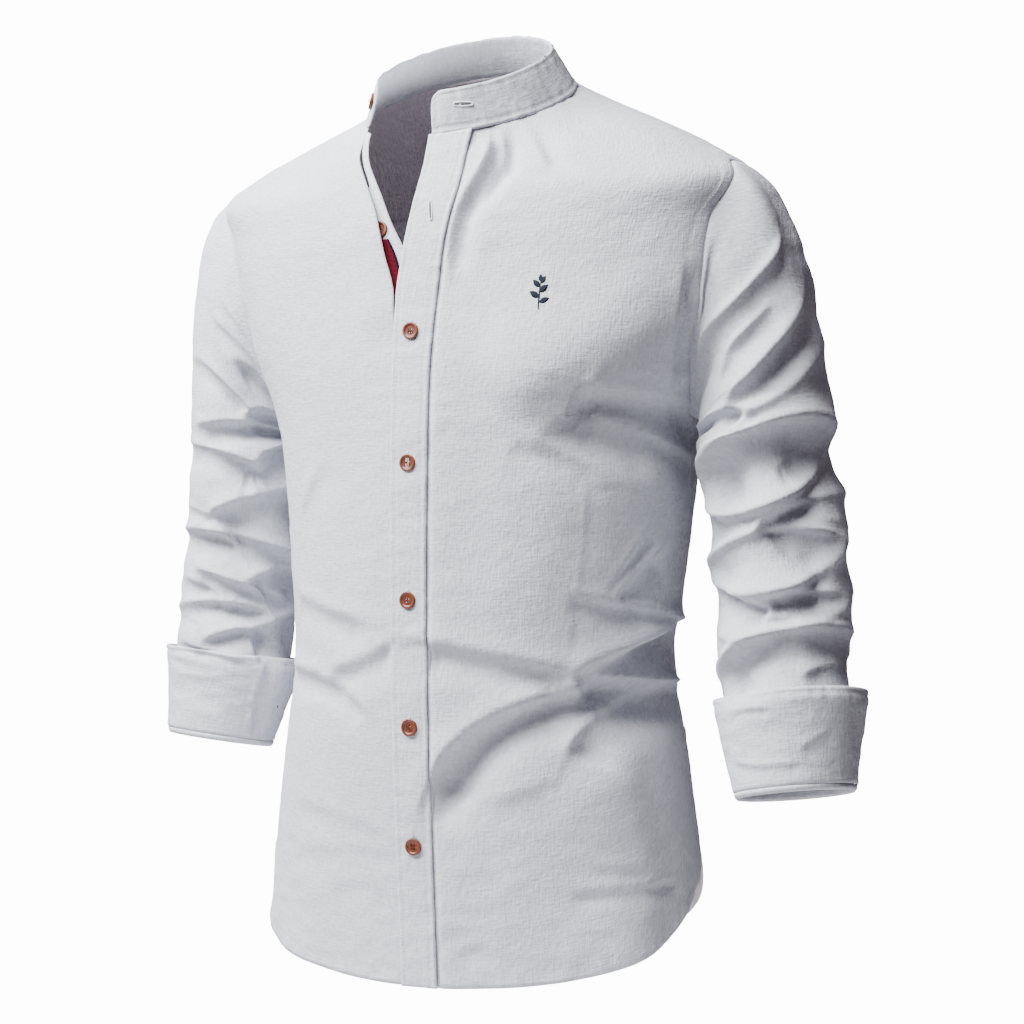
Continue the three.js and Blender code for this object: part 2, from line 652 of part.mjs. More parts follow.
// How the sleeve leaves the armhole and reaches the arm: lengths of its two tangents.
const STAND_OFF = 3;
const HEAD = { leave: 25, leaveTop: 135, reach: 16, reachTop: 215, power: 1.3 };
const HEAD_WAY = { out: 0.8, outTop: 0.13, down: -0.6, upTop: 0.25 };
const SEAM_CALM = { stands: 12, length: 40 };

function sleeveForm(distance, degrees, side) {
  if (distance >= SLEEVE_BLEND) return armForm(distance, degrees, side).point;
  const hand = side === "left" ? 1 : -1;
  const edge = armhole(degrees, side, -half);
  const start = bodyForm(edge.level, edge.angle);
  const { point: finish, axis } = armForm(SLEEVE_BLEND, degrees, side);
  const top = (1 + cos(degrees * RAD)) / 2;
  const out = HEAD_WAY.out + HEAD_WAY.outTop * top;
  const leave = new THREE.Vector3(hand * out, 0, HEAD_WAY.down + HEAD_WAY.upTop * top);
  const t = distance / SLEEVE_BLEND;
  const rise = 3 * t * t - 2 * t * t * t;
  const { stands, length } = SEAM_CALM;
  const off = smoothstep(distance, 0, stands) * (1 - smoothstep(distance, length, SLEEVE_BLEND));
  return start
    .lerp(finish, rise)
    .addScaledVector(bodyNormal(edge.level, edge.angle), STAND_OFF * off * (1 - top))
    .addScaledVector(leave, (HEAD.leave + HEAD.leaveTop * top ** HEAD.power) * t * (1 - t) * (1 - t))
    .addScaledVector(axis, -(HEAD.reach + HEAD.reachTop * top ** HEAD.power) * t * t * (1 - t));
}

function sleeveNormal(distance, degrees, side) {
  const hand = side === "left" ? 1 : -1;
  const step = 1;
  const end = ARM[side][ARM[side].length - 1].along;
  const low = Math.max(distance - step, 0);
  const high = Math.min(distance + step, end);
  const down = sleeveForm(high, degrees, side).sub(sleeveForm(low, degrees, side));
  const before = sleeveForm(distance, degrees - step, side);
  const round = sleeveForm(distance, degrees + step, side).sub(before);
  const normal = round.cross(down).normalize().multiplyScalar(hand);
  if (distance < 2) {
    const edge = armhole(degrees, side, 0);
    return bodyNormal(edge.level, edge.angle);
  }
  return normal;
}

// Folds fade out at the armhole and under the cuff.
const CUFF_CALM = { starts: 87, full: 65 };
function onSleeve(distance, degrees, side, lift) {
  const fold = foldHeight(SLEEVE_FOLDS[side], degrees, distance, SLEEVE_PER_DEGREE);
  const end = SLEEVE_END[side];
  const open = 1 - smoothstep(distance, end - CUFF_CALM.starts, end - CUFF_CALM.full);
  const shown = smoothstep(distance, 0, SEAM_CALM.length) * open;
  const point = sleeveForm(distance, degrees, side);
  point.addScaledVector(sleeveNormal(distance, degrees, side), fold * shown + lift);
  const edge = armhole(degrees, side, -half);
  const seamFold = foldHeight(BODY_FOLDS, edge.angle, edge.level, BODY_PER_DEGREE);
  const fade = 1 - smoothstep(distance, 0, SEAM_CALM.length);
  return point.addScaledVector(bodyNormal(edge.level, edge.angle), seamFold * fade);
}

// Rings along the sleeve, then the turn at its end.
const SLEEVE_RINGS = 30;
const TURN_ROUND = 0.6;
function sleeve(side) {
  const end = SLEEVE_END[side];
  const { length, lift } = TURN_UP;
  const angles = Array.from({ length: ARMHOLE_STEPS }, (_, j) => j * armholeStep);
  const rings = Array.from({ length: SLEEVE_RINGS + 1 }, (_, i) => {
    const distance = ((end - length / 2) * i) / SLEEVE_RINGS;
    return { outer: [distance, 0], inner: [distance, -CLOTH] };
  });
  rings.push({ outer: [end - CLOTH, TURN_ROUND], inner: [end, TURN_ROUND] });
  rings.push({ outer: [end - length * 0.6, lift], inner: [end - length * 0.5, lift + CLOTH] });
  rings.push({ outer: [end - length, lift], inner: [end - length, lift + CLOTH] });
  const grid = (face) =>
    rings.map((ring) => angles.map((angle) => onSleeve(ring[face][0], angle, side, ring[face][1])));
  return wall(grid("outer"), grid("inner"), true);
}

// The turned-back cuff is an open band that stands away from the sleeve at its upper edge.
const CUFF_COLUMNS = 28;
const CUFF_ROWS = 3;
const CUFF_BOW = 1.3;
function cuff(side) {
  const seam = SLEEVE_END[side] - TURN_UP.length - SEAM_GAP;
  const from = CUFF_OPENING.to;
  const to = 360 + CUFF_OPENING.from;
  const face = (lift) =>
    Array.from({ length: CUFF_ROWS + 1 }, (_, i) => {
      const rise = i / CUFF_ROWS;
      return Array.from({ length: CUFF_COLUMNS + 1 }, (__, j) => {
        const angle = lerp(from, to, j / CUFF_COLUMNS);
        const away = along(CUFF_FLARE, "angle", "flare", angle) * rise ** CUFF_BOW;
        return onSleeve(seam - CUFF_HEIGHT * rise, angle, side, lift + away);
      });
    });
  return wall(face(CUFF_CLEARANCE + CUFF_THICK), face(CUFF_CLEARANCE), false);
}

// A turned button: a dished face inside a round rim.
function button() {
  const r = BUTTON_RADIUS;
  const t = BUTTON_THICK;
  const profile = [
    [0, 0],
    [r * 0.8, 0],
    [r, t * 0.6],
    [r * 0.84, t],
    [r * 0.66, t * 0.72],
    [0, t * 0.66],
  ].map(([x, y]) => new THREE.Vector2(x, y));
  return new THREE.LatheGeometry(profile, 12).rotateX(Math.PI / 2);
}

function buttonMesh(name, point, normal) {
  const mesh = new THREE.Mesh(button(), new THREE.MeshStandardMaterial(WOOD));
  mesh.name = name;
  mesh.quaternion.setFromUnitVectors(new THREE.Vector3(0, 0, 1), normal);
  mesh.position.copy(point).addScaledVector(normal, SEAM_GAP);
  return mesh;
}

function bodyButton(name, level, x, lift) {
  const angle = angleAtX(level, x);
  return buttonMesh(name, onBody(level, angle, lift), bodyNormal(level, angle));
}

function collarButton() {
  const { point, normal } = collarForm(COLLAR_BUTTON.rise, COLLAR_RIGHT_END - COLLAR_BUTTON.fromEnd);
  return buttonMesh("button_collar", point.addScaledVector(normal, COLLAR_THICK - SEAM_GAP), normal);
}

const shirt = new THREE.Group();

function addPiece(name, geometry, finish) {
  const mesh = new THREE.Mesh(geometry, new THREE.MeshStandardMaterial(finish));
  mesh.name = name;
  shirt.add(mesh);
}

addPiece("front_left", frontLeft(), LINEN);
addPiece("front_right", frontRight(), LINEN);
addPiece("back", back(), LINEN);
addPiece("yoke", yoke(), LINEN);
addPiece("collar", collar(), LINEN);
addPiece("placket", placket(), LINEN);
addPiece("button_band", buttonBand(), LINEN);
addPiece("band_tape", bandTape(), RIBBON);
for (const side of ["left", "right"]) {
  addPiece(`sleeve_${side}`, sleeve(side), LINEN);
  addPiece(`cuff_${side}`, cuff(side), LINEN);
}

const placketFace = PLACKET_BOTTOM_LIFT + PLACKET_THICK;
BUTTON_LEVELS.forEach((level, k) => {
  shirt.add(bodyButton(`button_${k + 1}`, level, BUTTON_LINE_X, placketFace));
});
const openButtonX = edgeX(OPEN_BUTTON_LEVEL, "fold") - OPEN_BUTTON_IN_FOLD;
shirt.add(bodyButton("button_band_top", OPEN_BUTTON_LEVEL, openButtonX, BAND_TOP));
shirt.add(collarButton());

export default shirt;
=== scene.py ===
"""Looks of a long-sleeved linen shirt with a stand collar, laid out as a Blender add-on."""
import math

import bpy
import numpy as np
from mathutils import Matrix, Vector


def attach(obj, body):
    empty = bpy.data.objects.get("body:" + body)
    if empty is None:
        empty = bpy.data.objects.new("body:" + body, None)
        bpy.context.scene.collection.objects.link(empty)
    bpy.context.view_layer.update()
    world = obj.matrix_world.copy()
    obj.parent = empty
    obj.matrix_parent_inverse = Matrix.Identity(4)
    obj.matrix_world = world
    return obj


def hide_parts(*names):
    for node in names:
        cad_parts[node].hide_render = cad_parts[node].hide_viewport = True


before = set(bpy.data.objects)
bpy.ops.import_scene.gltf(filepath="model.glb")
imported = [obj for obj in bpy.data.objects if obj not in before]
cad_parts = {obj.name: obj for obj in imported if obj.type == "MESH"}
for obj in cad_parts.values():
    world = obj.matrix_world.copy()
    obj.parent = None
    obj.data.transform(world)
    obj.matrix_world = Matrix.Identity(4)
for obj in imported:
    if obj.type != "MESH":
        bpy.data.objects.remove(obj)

bl_info = {
    "name": "Stand Collar Shirt",
    "version": (1, 0, 0),
    "blender": (4, 5, 0),
    "location": "View3D > Sidebar > Shirt",
    "description": "Builds a long-sleeved linen shirt with a stand collar as it hangs when worn",
    "category": "Add Mesh",
}

MM = 0.001

# Forms are worked out in millimetres and turned into metres when a mesh is made.
NECK_LEVEL = 18.0
PIT_LEVEL = -268.0
TIP_LEVEL = -52.0
HEM_FRONT = -743.0
HEM_BACK = -750.0
HEM_SIDE = -643.0
SIDE_SEAM_AT_PIT = 5.0
SIDE_SEAM_AT_HEM = 14.0
SEAM_GAP = 0.3
UNDER_NEIGHBOUR = 1.15
TUCK = 2.2
ARMHOLE_FRONT = 54.0
ARMHOLE_BACK = 70.0
ARMHOLE_POINTED = 0.25
ARMHOLE_TOP_Y = -8
ARMHOLE_PIT_Y = 10
YOKE_TURN = 12
YOKE_BACK_STEPS = 26
YOKE_SIDE_STEPS = 5
YOKE_NECK_FRONT = -16
YOKE_NECK_BACK = 30
HEM_STITCH = 6.5
ARMHOLE_STITCH = 9
EDGE_STITCH = 5
PLACKET_LIFT = 4.4
PLACKET_THICK = 1.7
PLACKET_FOLLOWS = 0.55
PLACKET_RELIEF = (-1.6, 1.4)
BUTTON_LINE = 1.0
TAPE_WIDTH = 14
TAPE_INSET = 9.5
CUFF_HEIGHT = 76
CUFF_STITCH = 5.5
COLLAR_PER_DEGREE = 1.4
COLLAR_LOW_STITCH = 4
COLLAR_HIGH_STITCH = 4.5
BODY_PER_DEGREE = 2.8
SLEEVE_PER_DEGREE = 0.96
CUFF_PER_DEGREE = 0.85
SLEEVE_BLEND = 200.0
SLEEVE_END = {"left": 496.0, "right": 471.0}
TURN_UP = 5.0
CUFF_FROM = -35.0
CUFF_TO = 285.0
SLEEVE_VALLEY_SPREAD = 1.7
SLEEVE_VALLEY_DEPTH = 2.1
SLEEVE_SMOOTH_SIDE = {"left": -27, "right": 20}
COLLAR_FROM = -86.0
COLLAR_TO = 219.0
COLLAR_RIM_X = 75.5
COLLAR_RIM_Y = 68
COLLAR_RIM_CENTRE = -39
COLLAR_RIM_LEVEL = 58
COLLAR_RIM_TILT = 0.49
COLLAR_CORNER = 12
COLLAR_OVER_PLACKET = 2.4
BAND_WIDTH = 31
BUTTON_LIFT = 4.9
OPEN_BUTTON_LIFT = 0.7
OPEN_BUTTON_IN_FOLD = 2
OPEN_BUTTONHOLE_LEVEL = -84.0
OPEN_BUTTONHOLE_INSET = 19.5
COLLAR_BUTTON_RISE = 0.55
COLLAR_BUTTON_INSET = 9
COLLAR_BUTTON_LIFT = 2.2
COLLAR_BUTTONHOLE_RISE = 0.58
COLLAR_BUTTONHOLE_INSET = 19.0
SPRIG_LEVEL = -166.0
SPRIG_X = 112.0

# level, tilt, left, right, front, back, centre, square
BODY = np.array([
    (-765, 0, 206, 206, 115, 128, 0, 2.2),
    (-650, 0, 197, 197, 124, 127, 0, 2.2),
    (-560, 0, 184, 183, 131, 124, 0, 2.2),
    (-470, 0, 173, 170, 135, 120, 0, 2.2),
    (-400, 0, 181, 172, 136, 121, 0, 2.25),
    (-330, 0, 190, 177, 136, 125, 0, 2.3),
    (-268, 0, 199, 187, 135, 128, 0, 2.35),
    (-200, 0, 222, 214, 131, 130, 0, 2.4),
    (-150, 0.03, 234, 229, 126, 126, -1, 2.4),
    (-100, 0.08, 242, 240, 121, 117, -3, 2.3),
    (-60, 0.16, 246, 246, 112, 106, -6, 2.15),
    (-38, 0.24, 212, 212, 103, 99, -11, 2.05),
    (-12, 0.35, 158, 158, 92, 90, -18, 2),
    (6, 0.42, 116, 116, 85, 84, -22, 2),
    (18, 0.454, 92, 92, 80, 80, -25, 2),
], float)
TILT, LEFT, RIGHT, FRONT, BACK, CENTRE, SQUARE = range(1, 8)

# distance along the sleeve, x, y, z, half-width sideways, half-width forwards
ARM = {
    "left": np.array([
        (200, 264, 2, -287, 59, 62),
        (270, 273, 0, -356, 60, 61),
        (340, 281, -6, -424, 58, 56),
        (410, 288, -16, -492, 54, 49),
        (450, 294, -22, -532, 51, 46),
        (499, 301, -29, -581, 48, 44),
    ], float),
    "right": np.array([
        (200, 247, 8, -287, 51, 60),
        (270, 251, 12, -356, 54, 60),
        (340, 260, 12, -424, 55, 55),
        (405, 266, 8, -490, 53, 48),
        (440, 271, 4, -524, 50, 45),
        (476, 275, 0, -560, 47, 43),
    ], float),
}

# level, placket's edges to the wearer's right and left, fold of the right front, band's free edge
FRONT_EDGES = np.array([
    (-765, -16, 17.5, -14, 16.8),
    (-300, -16, 18.5, -14, 16.8),
    (-215, -16, 20, -14, 12.5),
    (-185, -16, 22, -16.6, 8.5),
    (-160, -15, 24, -17.5, 1),
    (-127, -11, 27, -26.6, -8),
    (-92, -6, 32, -35, -25),
    (-60, -1.5, 37, -47, -38),
    (-20, 2, 39, -62, -54),
    (18, 3.5, 40, -76, -68),
], float)
PLACKET_LEFT, PLACKET_RIGHT, FOLD, BAND_EDGE = range(1, 5)

# Creases: three points of a path (round, lengthwise), then height and half-width of the ridge on
# the path, and depth and half-width of the valley on the right-hand side of the way along it.
# On the body the places are angles round it and levels.
BODY_CREASES = [
    (-70, -256, -42, -204, -4, -140, 11, 50, 0, 8),
    (-36, -745, -30, -640, -36, -540, 8, 42, 0, 8),
    (-45, -226, -28, -232, 6, -240, 0, 8, 5, 20),
    (-49, -241, -31, -248, 14, -262, 2, 16, 10, 15),
    (-44, -266, -27, -280, 12, -302, 2.5, 6, 6, 10),
    (-52, -264, -40, -279, -18, -296, 1, 10, 5, 11),
    (-63, -283, -52, -296, -38, -317, 1, 8, 2.5, 8),
    (-44, -322, -32, -324, -11, -329, 0.5, 4, 0.6, 4),
    (-45, -466, -43, -390, -44, -318, 0.5, 3, 0.6, 5),
    (-31, -418, -23, -395, -9, -374, 3, 6, 6, 11),
    (-35, -411, -28, -386, -20, -355, 1, 6, 2.5, 7),
    (-28, -419, -16, -426, 20, -439, 3, 4, 2, 5),
    (-45, -412, -33, -419, -12, -430, 1.5, 5, 4, 8),
    (-92, -448, -68, -461, -42, -477, 3, 13, 6.5, 10),
    (-44, -479, -22, -457, 22, -432, 6, 13, 17, 14),
    (-37, -483, -18, -483, 20, -493, 4, 5, 6, 6),
    (-89, -606, -62, -507, 4, -490, 4, 12, 17, 12),
    (-80, -571, -65, -519, -42, -495, 1, 6, 2, 5),
    (-48, -549, -29, -507, 18, -490, 4, 7, 8, 12),
    (-84, -595, -66, -580, -50, -561, 0.5, 8, 1.2, 10),
    (-51, -658, -36, -654, -10, -649, 1.2, 6, 2.5, 5),
    (-42, -637, -35, -639, -25, -637, 0.6, 5, 1.2, 5),
    (-83, -721, -76, -705, -68, -716, 0.8, 5, 1.2, 7),
    (-84, -687, -77, -693, -70, -705, 0.3, 8, 1.4, 9),
    (-138, -416, -123, -425, -102, -439, 1.5, 9, 3.5, 10),
    (-120, -479, -106, -468, -94, -448, 1.5, 10, 4.5, 9),
    (-152, -480, -120, -488, -103, -518, 2.5, 9, 5, 8),
    (-134, -592, -114, -601, -98, -613, 0.6, 9, 1.4, 9),
    (-132, -635, -109, -629, -97, -630, 0.4, 8, 1.2, 9),
    (-117, -662, -107, -657, -96, -660, 0.4, 8, 1.6, 9),
    (-105, -732, -100, -727, -96, -729, 0.6, 4, 1.2, 4),
    (-81.5, -150, -78.5, -56, -58, 14, 2.5, 5, 8, 5),
    (-77, -84, -71, -32, -50, 18, 2, 5, 3.5, 4),
    (-72, -46, -62, -8, -46, 18, 1.5, 4, 3.5, 4),
    (-60, -40, -50, -6, -36, 17, 1, 5, 2.5, 5),
    (-33, 7, -22, 12, -6, 17, 0.6, 4, 1.6, 5),
    (-19, -246, -28, -198, -30, -140, 1, 8, 4.5, 8),
    (-134, -360, -128, -330, -117, -296, 0.8, 9, 1.2, 10),
    (100, -474, 62, -462, 26, -488, 3, 10, 8, 13),
    (84, -496, 120, -470, 154, -452, 3, 10, 8, 12),
    (76, -450, 46, -440, 18, -428, 2, 8, 4, 9),
    (112, -520, 136, -505, 164, -498, 2, 9, 6, 11),
    (70, -510, 44, -520, 24, -542, 3, 8, 4, 10),
    (24, -190, 32, -250, 38, -310, 3, 9, 5, 11),
    (141, -310, 148, -250, 156, -190, 3, 9, 5, 11),
    (60, -110, 66, -170, 70, -240, 1, 9, 2.5, 11),
    (111, -250, 114, -175, 120, -110, 1, 9, 2.5, 11),
    (74, -648, 52, -655, 32, -638, 1.5, 9, 3, 11),
    (110, -638, 130, -650, 148, -638, 1.5, 9, 3, 11),
    (88, -560, 92, -620, 90, -700, 1, 12, 2, 14),
]

# On a sleeve the places are angles round it and distances along it.
SLEEVE_CREASES = {
    "left": [
        (122, 10, 76, 76, 22, 72, 3.5, 5, 4.5, 9),
        (90, 96, 68, 106, 45, 105, 1.5, 5, 4, 7),
        (94, 138, 60, 137, 4, 112, 3, 8, 8, 9),
        (88, 168, 46, 166, -40, 132, 3, 9, 4.5, 11),
        (150, 128, 108, 148, 80, 172, 2.5, 5, 6, 7),
        (158, 232, 71, 189, -46, 206, 6, 8, 20, 17),
        (64, 226, 34, 216, -20, 196, 0, 5, 3.5, 7),
        (156, 246, 74, 258, -44, 192, 5, 9, 8, 9),
        (95, 283, 50, 259, -44, 250, 3, 6, 7, 9),
        (74, 278, 42, 274, -20, 275, 2, 6, 1.5, 6),
        (168, 304, 84, 280, 4, 290, 5, 7, 12, 14),
        (168, 308, 74, 333, -22, 276, 5, 9, 6, 9),
        (150, 322, 108, 336, 82, 349, 1, 5, 6, 5),
        (85, 337, 53, 334, 4, 337, 2.5, 5, 5, 6),
        (110, 348, 85, 356, 60, 353, 1.5, 5, 3, 5),
        (150, 362, 76, 369, -20, 334, 3, 7, 1, 6),
        (158, 402, 82, 368, -40, 368, 5, 6, 11, 12),
        (60, 408, 30, 396, -18, 396, 1.5, 8, 2.5, 8),
        (-16, 92, -60, 130, -104, 152, 3, 8, 6, 10),
        (-20, 172, -70, 205, -132, 214, 4, 8, 7, 11),
        (-142, 250, -75, 262, -18, 238, 4, 9, 6, 10),
        (-22, 272, -80, 294, -142, 284, 4, 8, 7, 11),
        (-12, 330, -80, 338, -138, 326, 3, 8, 7, 10),
        (-20, 376, -80, 390, -132, 372, 3, 8, 6, 9),
    ],
    "right": [
        (70, 73, 95, 47, 120, 5, 1, 5, 2.5, 4),
        (75, 47, 95, 24, 108, 3, 0.8, 5, 1.5, 4),
        (99, 75, 120, 26, 138, 12, 1.5, 6, 5, 6),
        (26, 140, 92, 107, 126, 104, 2, 6, 4.5, 6),
        (105, 67, 121, 40, 136, 20, 0.5, 6, 2.5, 6),
        (116, 137, 130, 85, 150, 40, 2, 5, 8, 8),
        (56, 178, 116, 136, 176, 50, 3, 6, 10, 9),
        (22, 196, 90, 199, 146, 219, 3, 6, 7.5, 7),
        (127, 208, 150, 183, 186, 90, 1, 7, 7, 11),
        (84, 261, 126, 241, 204, 232, 4, 8, 10, 13),
        (38, 254, 70, 257, 92, 263, 1, 4, 2.5, 4),
        (16, 286, 107, 277, 200, 302, 4, 7, 10, 8),
        (68, 315, 124, 323, 200, 343, 2, 5, 7, 7),
        (127, 322, 152, 308, 212, 303, 4, 7, 9, 12),
        (46, 326, 81, 331, 106, 341, 1.5, 5, 5, 5),
        (10, 360, 98, 344, 160, 352, 3, 5, 8, 6),
        (34, 360, 58, 363, 78, 366, 0.5, 3, 2, 3),
        (82, 385, 124, 367, 165, 375, 2.5, 5, 5, 5),
        (132, 366, 164, 357, 212, 346, 3, 6, 9, 12),
        (50, 385, 96, 390, 136, 396, 1.5, 5, 4, 4),
        (-30, 100, -70, 138, -112, 156, 3, 9, 6, 10),
        (-20, 178, -70, 210, -130, 206, 4, 9, 7, 10),
        (-14, 250, -80, 270, -140, 262, 4, 9, 8, 11),
        (-136, 298, -80, 312, -24, 300, 3, 9, 5, 10),
        (-10, 330, -80, 340, -134, 326, 3, 9, 7, 10),
        (-30, 372, -90, 380, -136, 366, 3, 8, 6, 9),
    ],
}

# On a cuff the places are angles round it and heights above its fold.
CUFF_CREASES = {
    "left": [
        (128, 62, 104, 63, 84, 60, 0.9, 3, 1.3, 3),
        (132, 24, 100, 18, 60, 17, 0.8, 3, 1.2, 4),
        (66, 28, 50, 36, 38, 42, 0.6, 4, 1, 5),
        (-30, 60, -80, 48, -130, 56, 0.5, 5, 1.2, 6),
        (-20, 22, -60, 28, -110, 20, 0.4, 5, 1.0, 6),
    ],
    "right": [
        (40, 60, 80, 50, 120, 58, 0.4, 5, 1.2, 6),
        (44, 22, 76, 26, 112, 16, 0.4, 5, 1.0, 6),
        (150, 76, 146, 40, 152, 4, 1.4, 3, 2.4, 5),
        (-30, 60, -80, 48, -130, 56, 0.5, 5, 1.2, 6),
        (-20, 22, -60, 28, -110, 20, 0.4, 5, 1.0, 6),
    ],
}

# angle, how far the cuff's upper edge stands away
CUFF_FLARE = np.array([(-35, 13), (20, 7), (90, 4), (180, 8), (285, 8)], float)

BUTTON_LEVELS = [-196.5, -306, -419.7, -525.1, -624.6]
OPEN_BUTTON_LEVEL = -100.0
HAND = {"left": 1, "right": -1}


# Plain mathematics

def smooth(x, a, b):
    t = np.clip((np.asarray(x, float) - a) / (b - a), 0, 1)
    return t * t * (3 - 2 * t)


def mix(a, b, t):
    return a + (b - a) * t


def bell(x, width):
    return np.exp(-((x / width) ** 2))


def circle(degrees):
    return np.cos(np.radians(degrees)), np.sin(np.radians(degrees))


def unit(v):
    return v / np.maximum(np.linalg.norm(v, axis=-1, keepdims=True), 1e-12)


def along(rows, column, place):
    """A column's value at places along a table, on a smooth curve through its rows."""
    x, y = rows[:, 0], rows[:, column]
    step = np.diff(x)
    slope = np.diff(y) / step
    tangent = np.empty(len(x))
    tangent[0], tangent[-1] = slope[0], slope[-1]
    tangent[1:-1] = (slope[:-1] * step[1:] + slope[1:] * step[:-1]) / (step[1:] + step[:-1])
    place = np.asarray(place, float)
    k = np.clip(np.searchsorted(x, place) - 1, 0, len(step) - 1)
    t = np.clip((place - x[k]) / step[k], 0, 1)
    rise = 3 * t * t - 2 * t**3
    leave = t * (1 - t) ** 2
    arrive = t * t * (t - 1)
    return y[k] + (y[k + 1] - y[k]) * rise + step[k] * (tangent[k] * leave + tangent[k + 1] * arrive)


def lattice(ix, iy, iz, seed):
    """A repeatable value from 0 to 1 for each lattice point."""
    n = (ix * 73856093) ^ (iy * 19349663) ^ (iz * 83492791) ^ (seed * 2654435761)
    n = (n ^ (n >> 13)) * 1274126177
    n = n & 0x7FFFFFFF
    n = (n ^ (n >> 16)) * 668265263
    return ((n & 0x7FFFFFFF) / 0x7FFFFFFF).astype(float)


def noise(points, size, seed):
    """Smooth noise from -1 to 1 with features of that size, at points in millimetres."""
    p = points / size
    base = np.floor(p).astype(np.int64)
    f = p - base
    f = f * f * f * (f * (f * 6 - 15) + 10)
    value = 0.0
    for dx in (0, 1):
        for dy in (0, 1):
            for dz in (0, 1):
                weight = (
                    (f[..., 0] if dx else 1 - f[..., 0])
                    * (f[..., 1] if dy else 1 - f[..., 1])
                    * (f[..., 2] if dz else 1 - f[..., 2])
                )
                corner = lattice(base[..., 0] + dx, base[..., 1] + dy, base[..., 2] + dz, seed)
                value = value + weight * corner
    return 2 * value - 1


def crease_height(creases, around, lengthwise, per_degree, hand, spread=1.3, depth=1.75):
    """Height of the creases at places given by angle and length. spread and depth scale all valleys."""
    shape = np.broadcast(around, lengthwise).shape
    around = np.broadcast_to(around, shape).ravel().astype(float)
    y = np.broadcast_to(lengthwise, shape).ravel().astype(float)
    total = np.zeros(len(y))
    t = np.linspace(0, 1, 19)
    for a0, l0, a1, l1, a2, l2, ridge, ridge_half, valley, valley_half in creases:
        turned = around - 360 * np.round((around - a1) / 360)
        x = turned * per_degree
        px = mix(a0, a2, t) + 4 * t * (1 - t) * (a1 - (a0 + a2) / 2)
        py = mix(l0, l2, t) + 4 * t * (1 - t) * (l1 - (l0 + l2) / 2)
        px = px * per_degree
        reach = 3.1 * max(0.85 * ridge_half, spread * valley_half, 3)
        near = np.nonzero(
            (x > px.min() - reach) & (x < px.max() + reach) & (y > py.min() - reach) & (y < py.max() + reach)
        )[0]
        if not len(near):
            continue
        dx, dy = np.diff(px), np.diff(py)
        rx = x[near, None] - px[None, :-1]
        ry = y[near, None] - py[None, :-1]
        length2 = dx * dx + dy * dy
        s = np.clip((rx * dx + ry * dy) / length2, 0, 1)
        ex, ey = rx - s * dx, ry - s * dy
        gap = ex * ex + ey * ey
        best = np.argmin(gap, axis=1)
        pick = np.arange(len(near))
        distance = np.sqrt(gap[pick, best])
        cross = dx[best] * ry[pick, best] - dy[best] * rx[pick, best]
        d = np.where(hand * cross >= 0, distance, -distance)
        place = (best + s[pick, best]) / len(dx)
        taper = smooth(place, -0.04, 0.17) * (1 - smooth(place, 0.83, 1.04))
        u = np.maximum(d, 0) / (spread * valley_half)
        lee = ridge * bell(d, 0.6 * ridge_half) - depth * valley * u * np.exp(-u * u / 2)
        height = np.where(d < 0, ridge * bell(d, ridge_half), lee)
        total[near] += height * taper * (1 + 0.2 * np.sin(7 * place + a1))
    return total.reshape(shape)


# Body form

def body_point(level, degrees):
    level, degrees = np.broadcast_arrays(np.asarray(level, float), np.asarray(degrees, float))
    c, s = circle(degrees)
    n = along(BODY, SQUARE, level)
    width = np.where(c > 0, along(BODY, LEFT, level), along(BODY, RIGHT, level))
    depth = np.where(s < 0, along(BODY, FRONT, level), along(BODY, BACK, level))
    k = (np.abs(c) ** n + np.abs(s) ** n) ** (-1 / n)
    y = along(BODY, CENTRE, level) + depth * s * k
    return np.stack([width * c * k, y, level + along(BODY, TILT, level) * y], axis=-1)


def body_normal(level, degrees):
    up = body_point(level + 0.5, degrees) - body_point(level - 0.5, degrees)
    turn = body_point(level, degrees + 0.5) - body_point(level, degrees - 0.5)
    return unit(np.cross(turn, up))


def body_place(level, degrees):
    return body_point(level, degrees), body_normal(level, degrees)


def angle_at(level, x):
    """The angle at which the front has a given x."""
    n = along(BODY, SQUARE, level)
    share = x / np.where(np.asarray(x) > 0, along(BODY, LEFT, level), along(BODY, RIGHT, level))
    return np.degrees(np.arctan2(-((1 - np.abs(share) ** n) ** (1 / n)), share))


def edge_x(level, column):
    return along(FRONT_EDGES, column, level)


def armhole(degrees, side, grow):
    """Level and angle of the armhole's edge."""
    middle, half = (PIT_LEVEL + TIP_LEVEL) / 2, (TIP_LEVEL - PIT_LEVEL) / 2 + grow
    c, s = circle(degrees)
    level = middle + half * c
    reach = np.where(s > 0, ARMHOLE_FRONT, ARMHOLE_BACK) + grow
    y = mix(ARMHOLE_TOP_Y, ARMHOLE_PIT_Y, (1 - c) / 2) - reach * s * np.abs(s) ** ARMHOLE_POINTED
    centre, n = along(BODY, CENTRE, level), along(BODY, SQUARE, level)
    depth = np.where(y < centre, along(BODY, FRONT, level), along(BODY, BACK, level))
    share = np.clip((y - centre) / depth, -1, 1)
    angle = np.degrees(np.arctan2(share, (1 - np.abs(share) ** n) ** (1 / n)))
    return level, (angle if side == "left" else 180 - angle)


def armhole_distance(points, level):
    """How far places are outside the armhole's edge, in millimetres as seen from the side."""
    middle, half = (PIT_LEVEL + TIP_LEVEL) / 2, (TIP_LEVEL - PIT_LEVEL) / 2
    c = (level - middle) / half
    dy = points[..., 1] - mix(ARMHOLE_TOP_Y, ARMHOLE_PIT_Y, (1 - np.clip(c, -1, 1)) / 2)
    reach = np.where(dy < 0, ARMHOLE_FRONT, ARMHOLE_BACK)
    power = 2 / (1 + ARMHOLE_POINTED)
    q = np.maximum(np.abs(dy) / reach, 1e-4)
    over = c * c + q**power - 1
    return over / np.hypot(2 * c / half, power * q ** (power - 1) / reach)


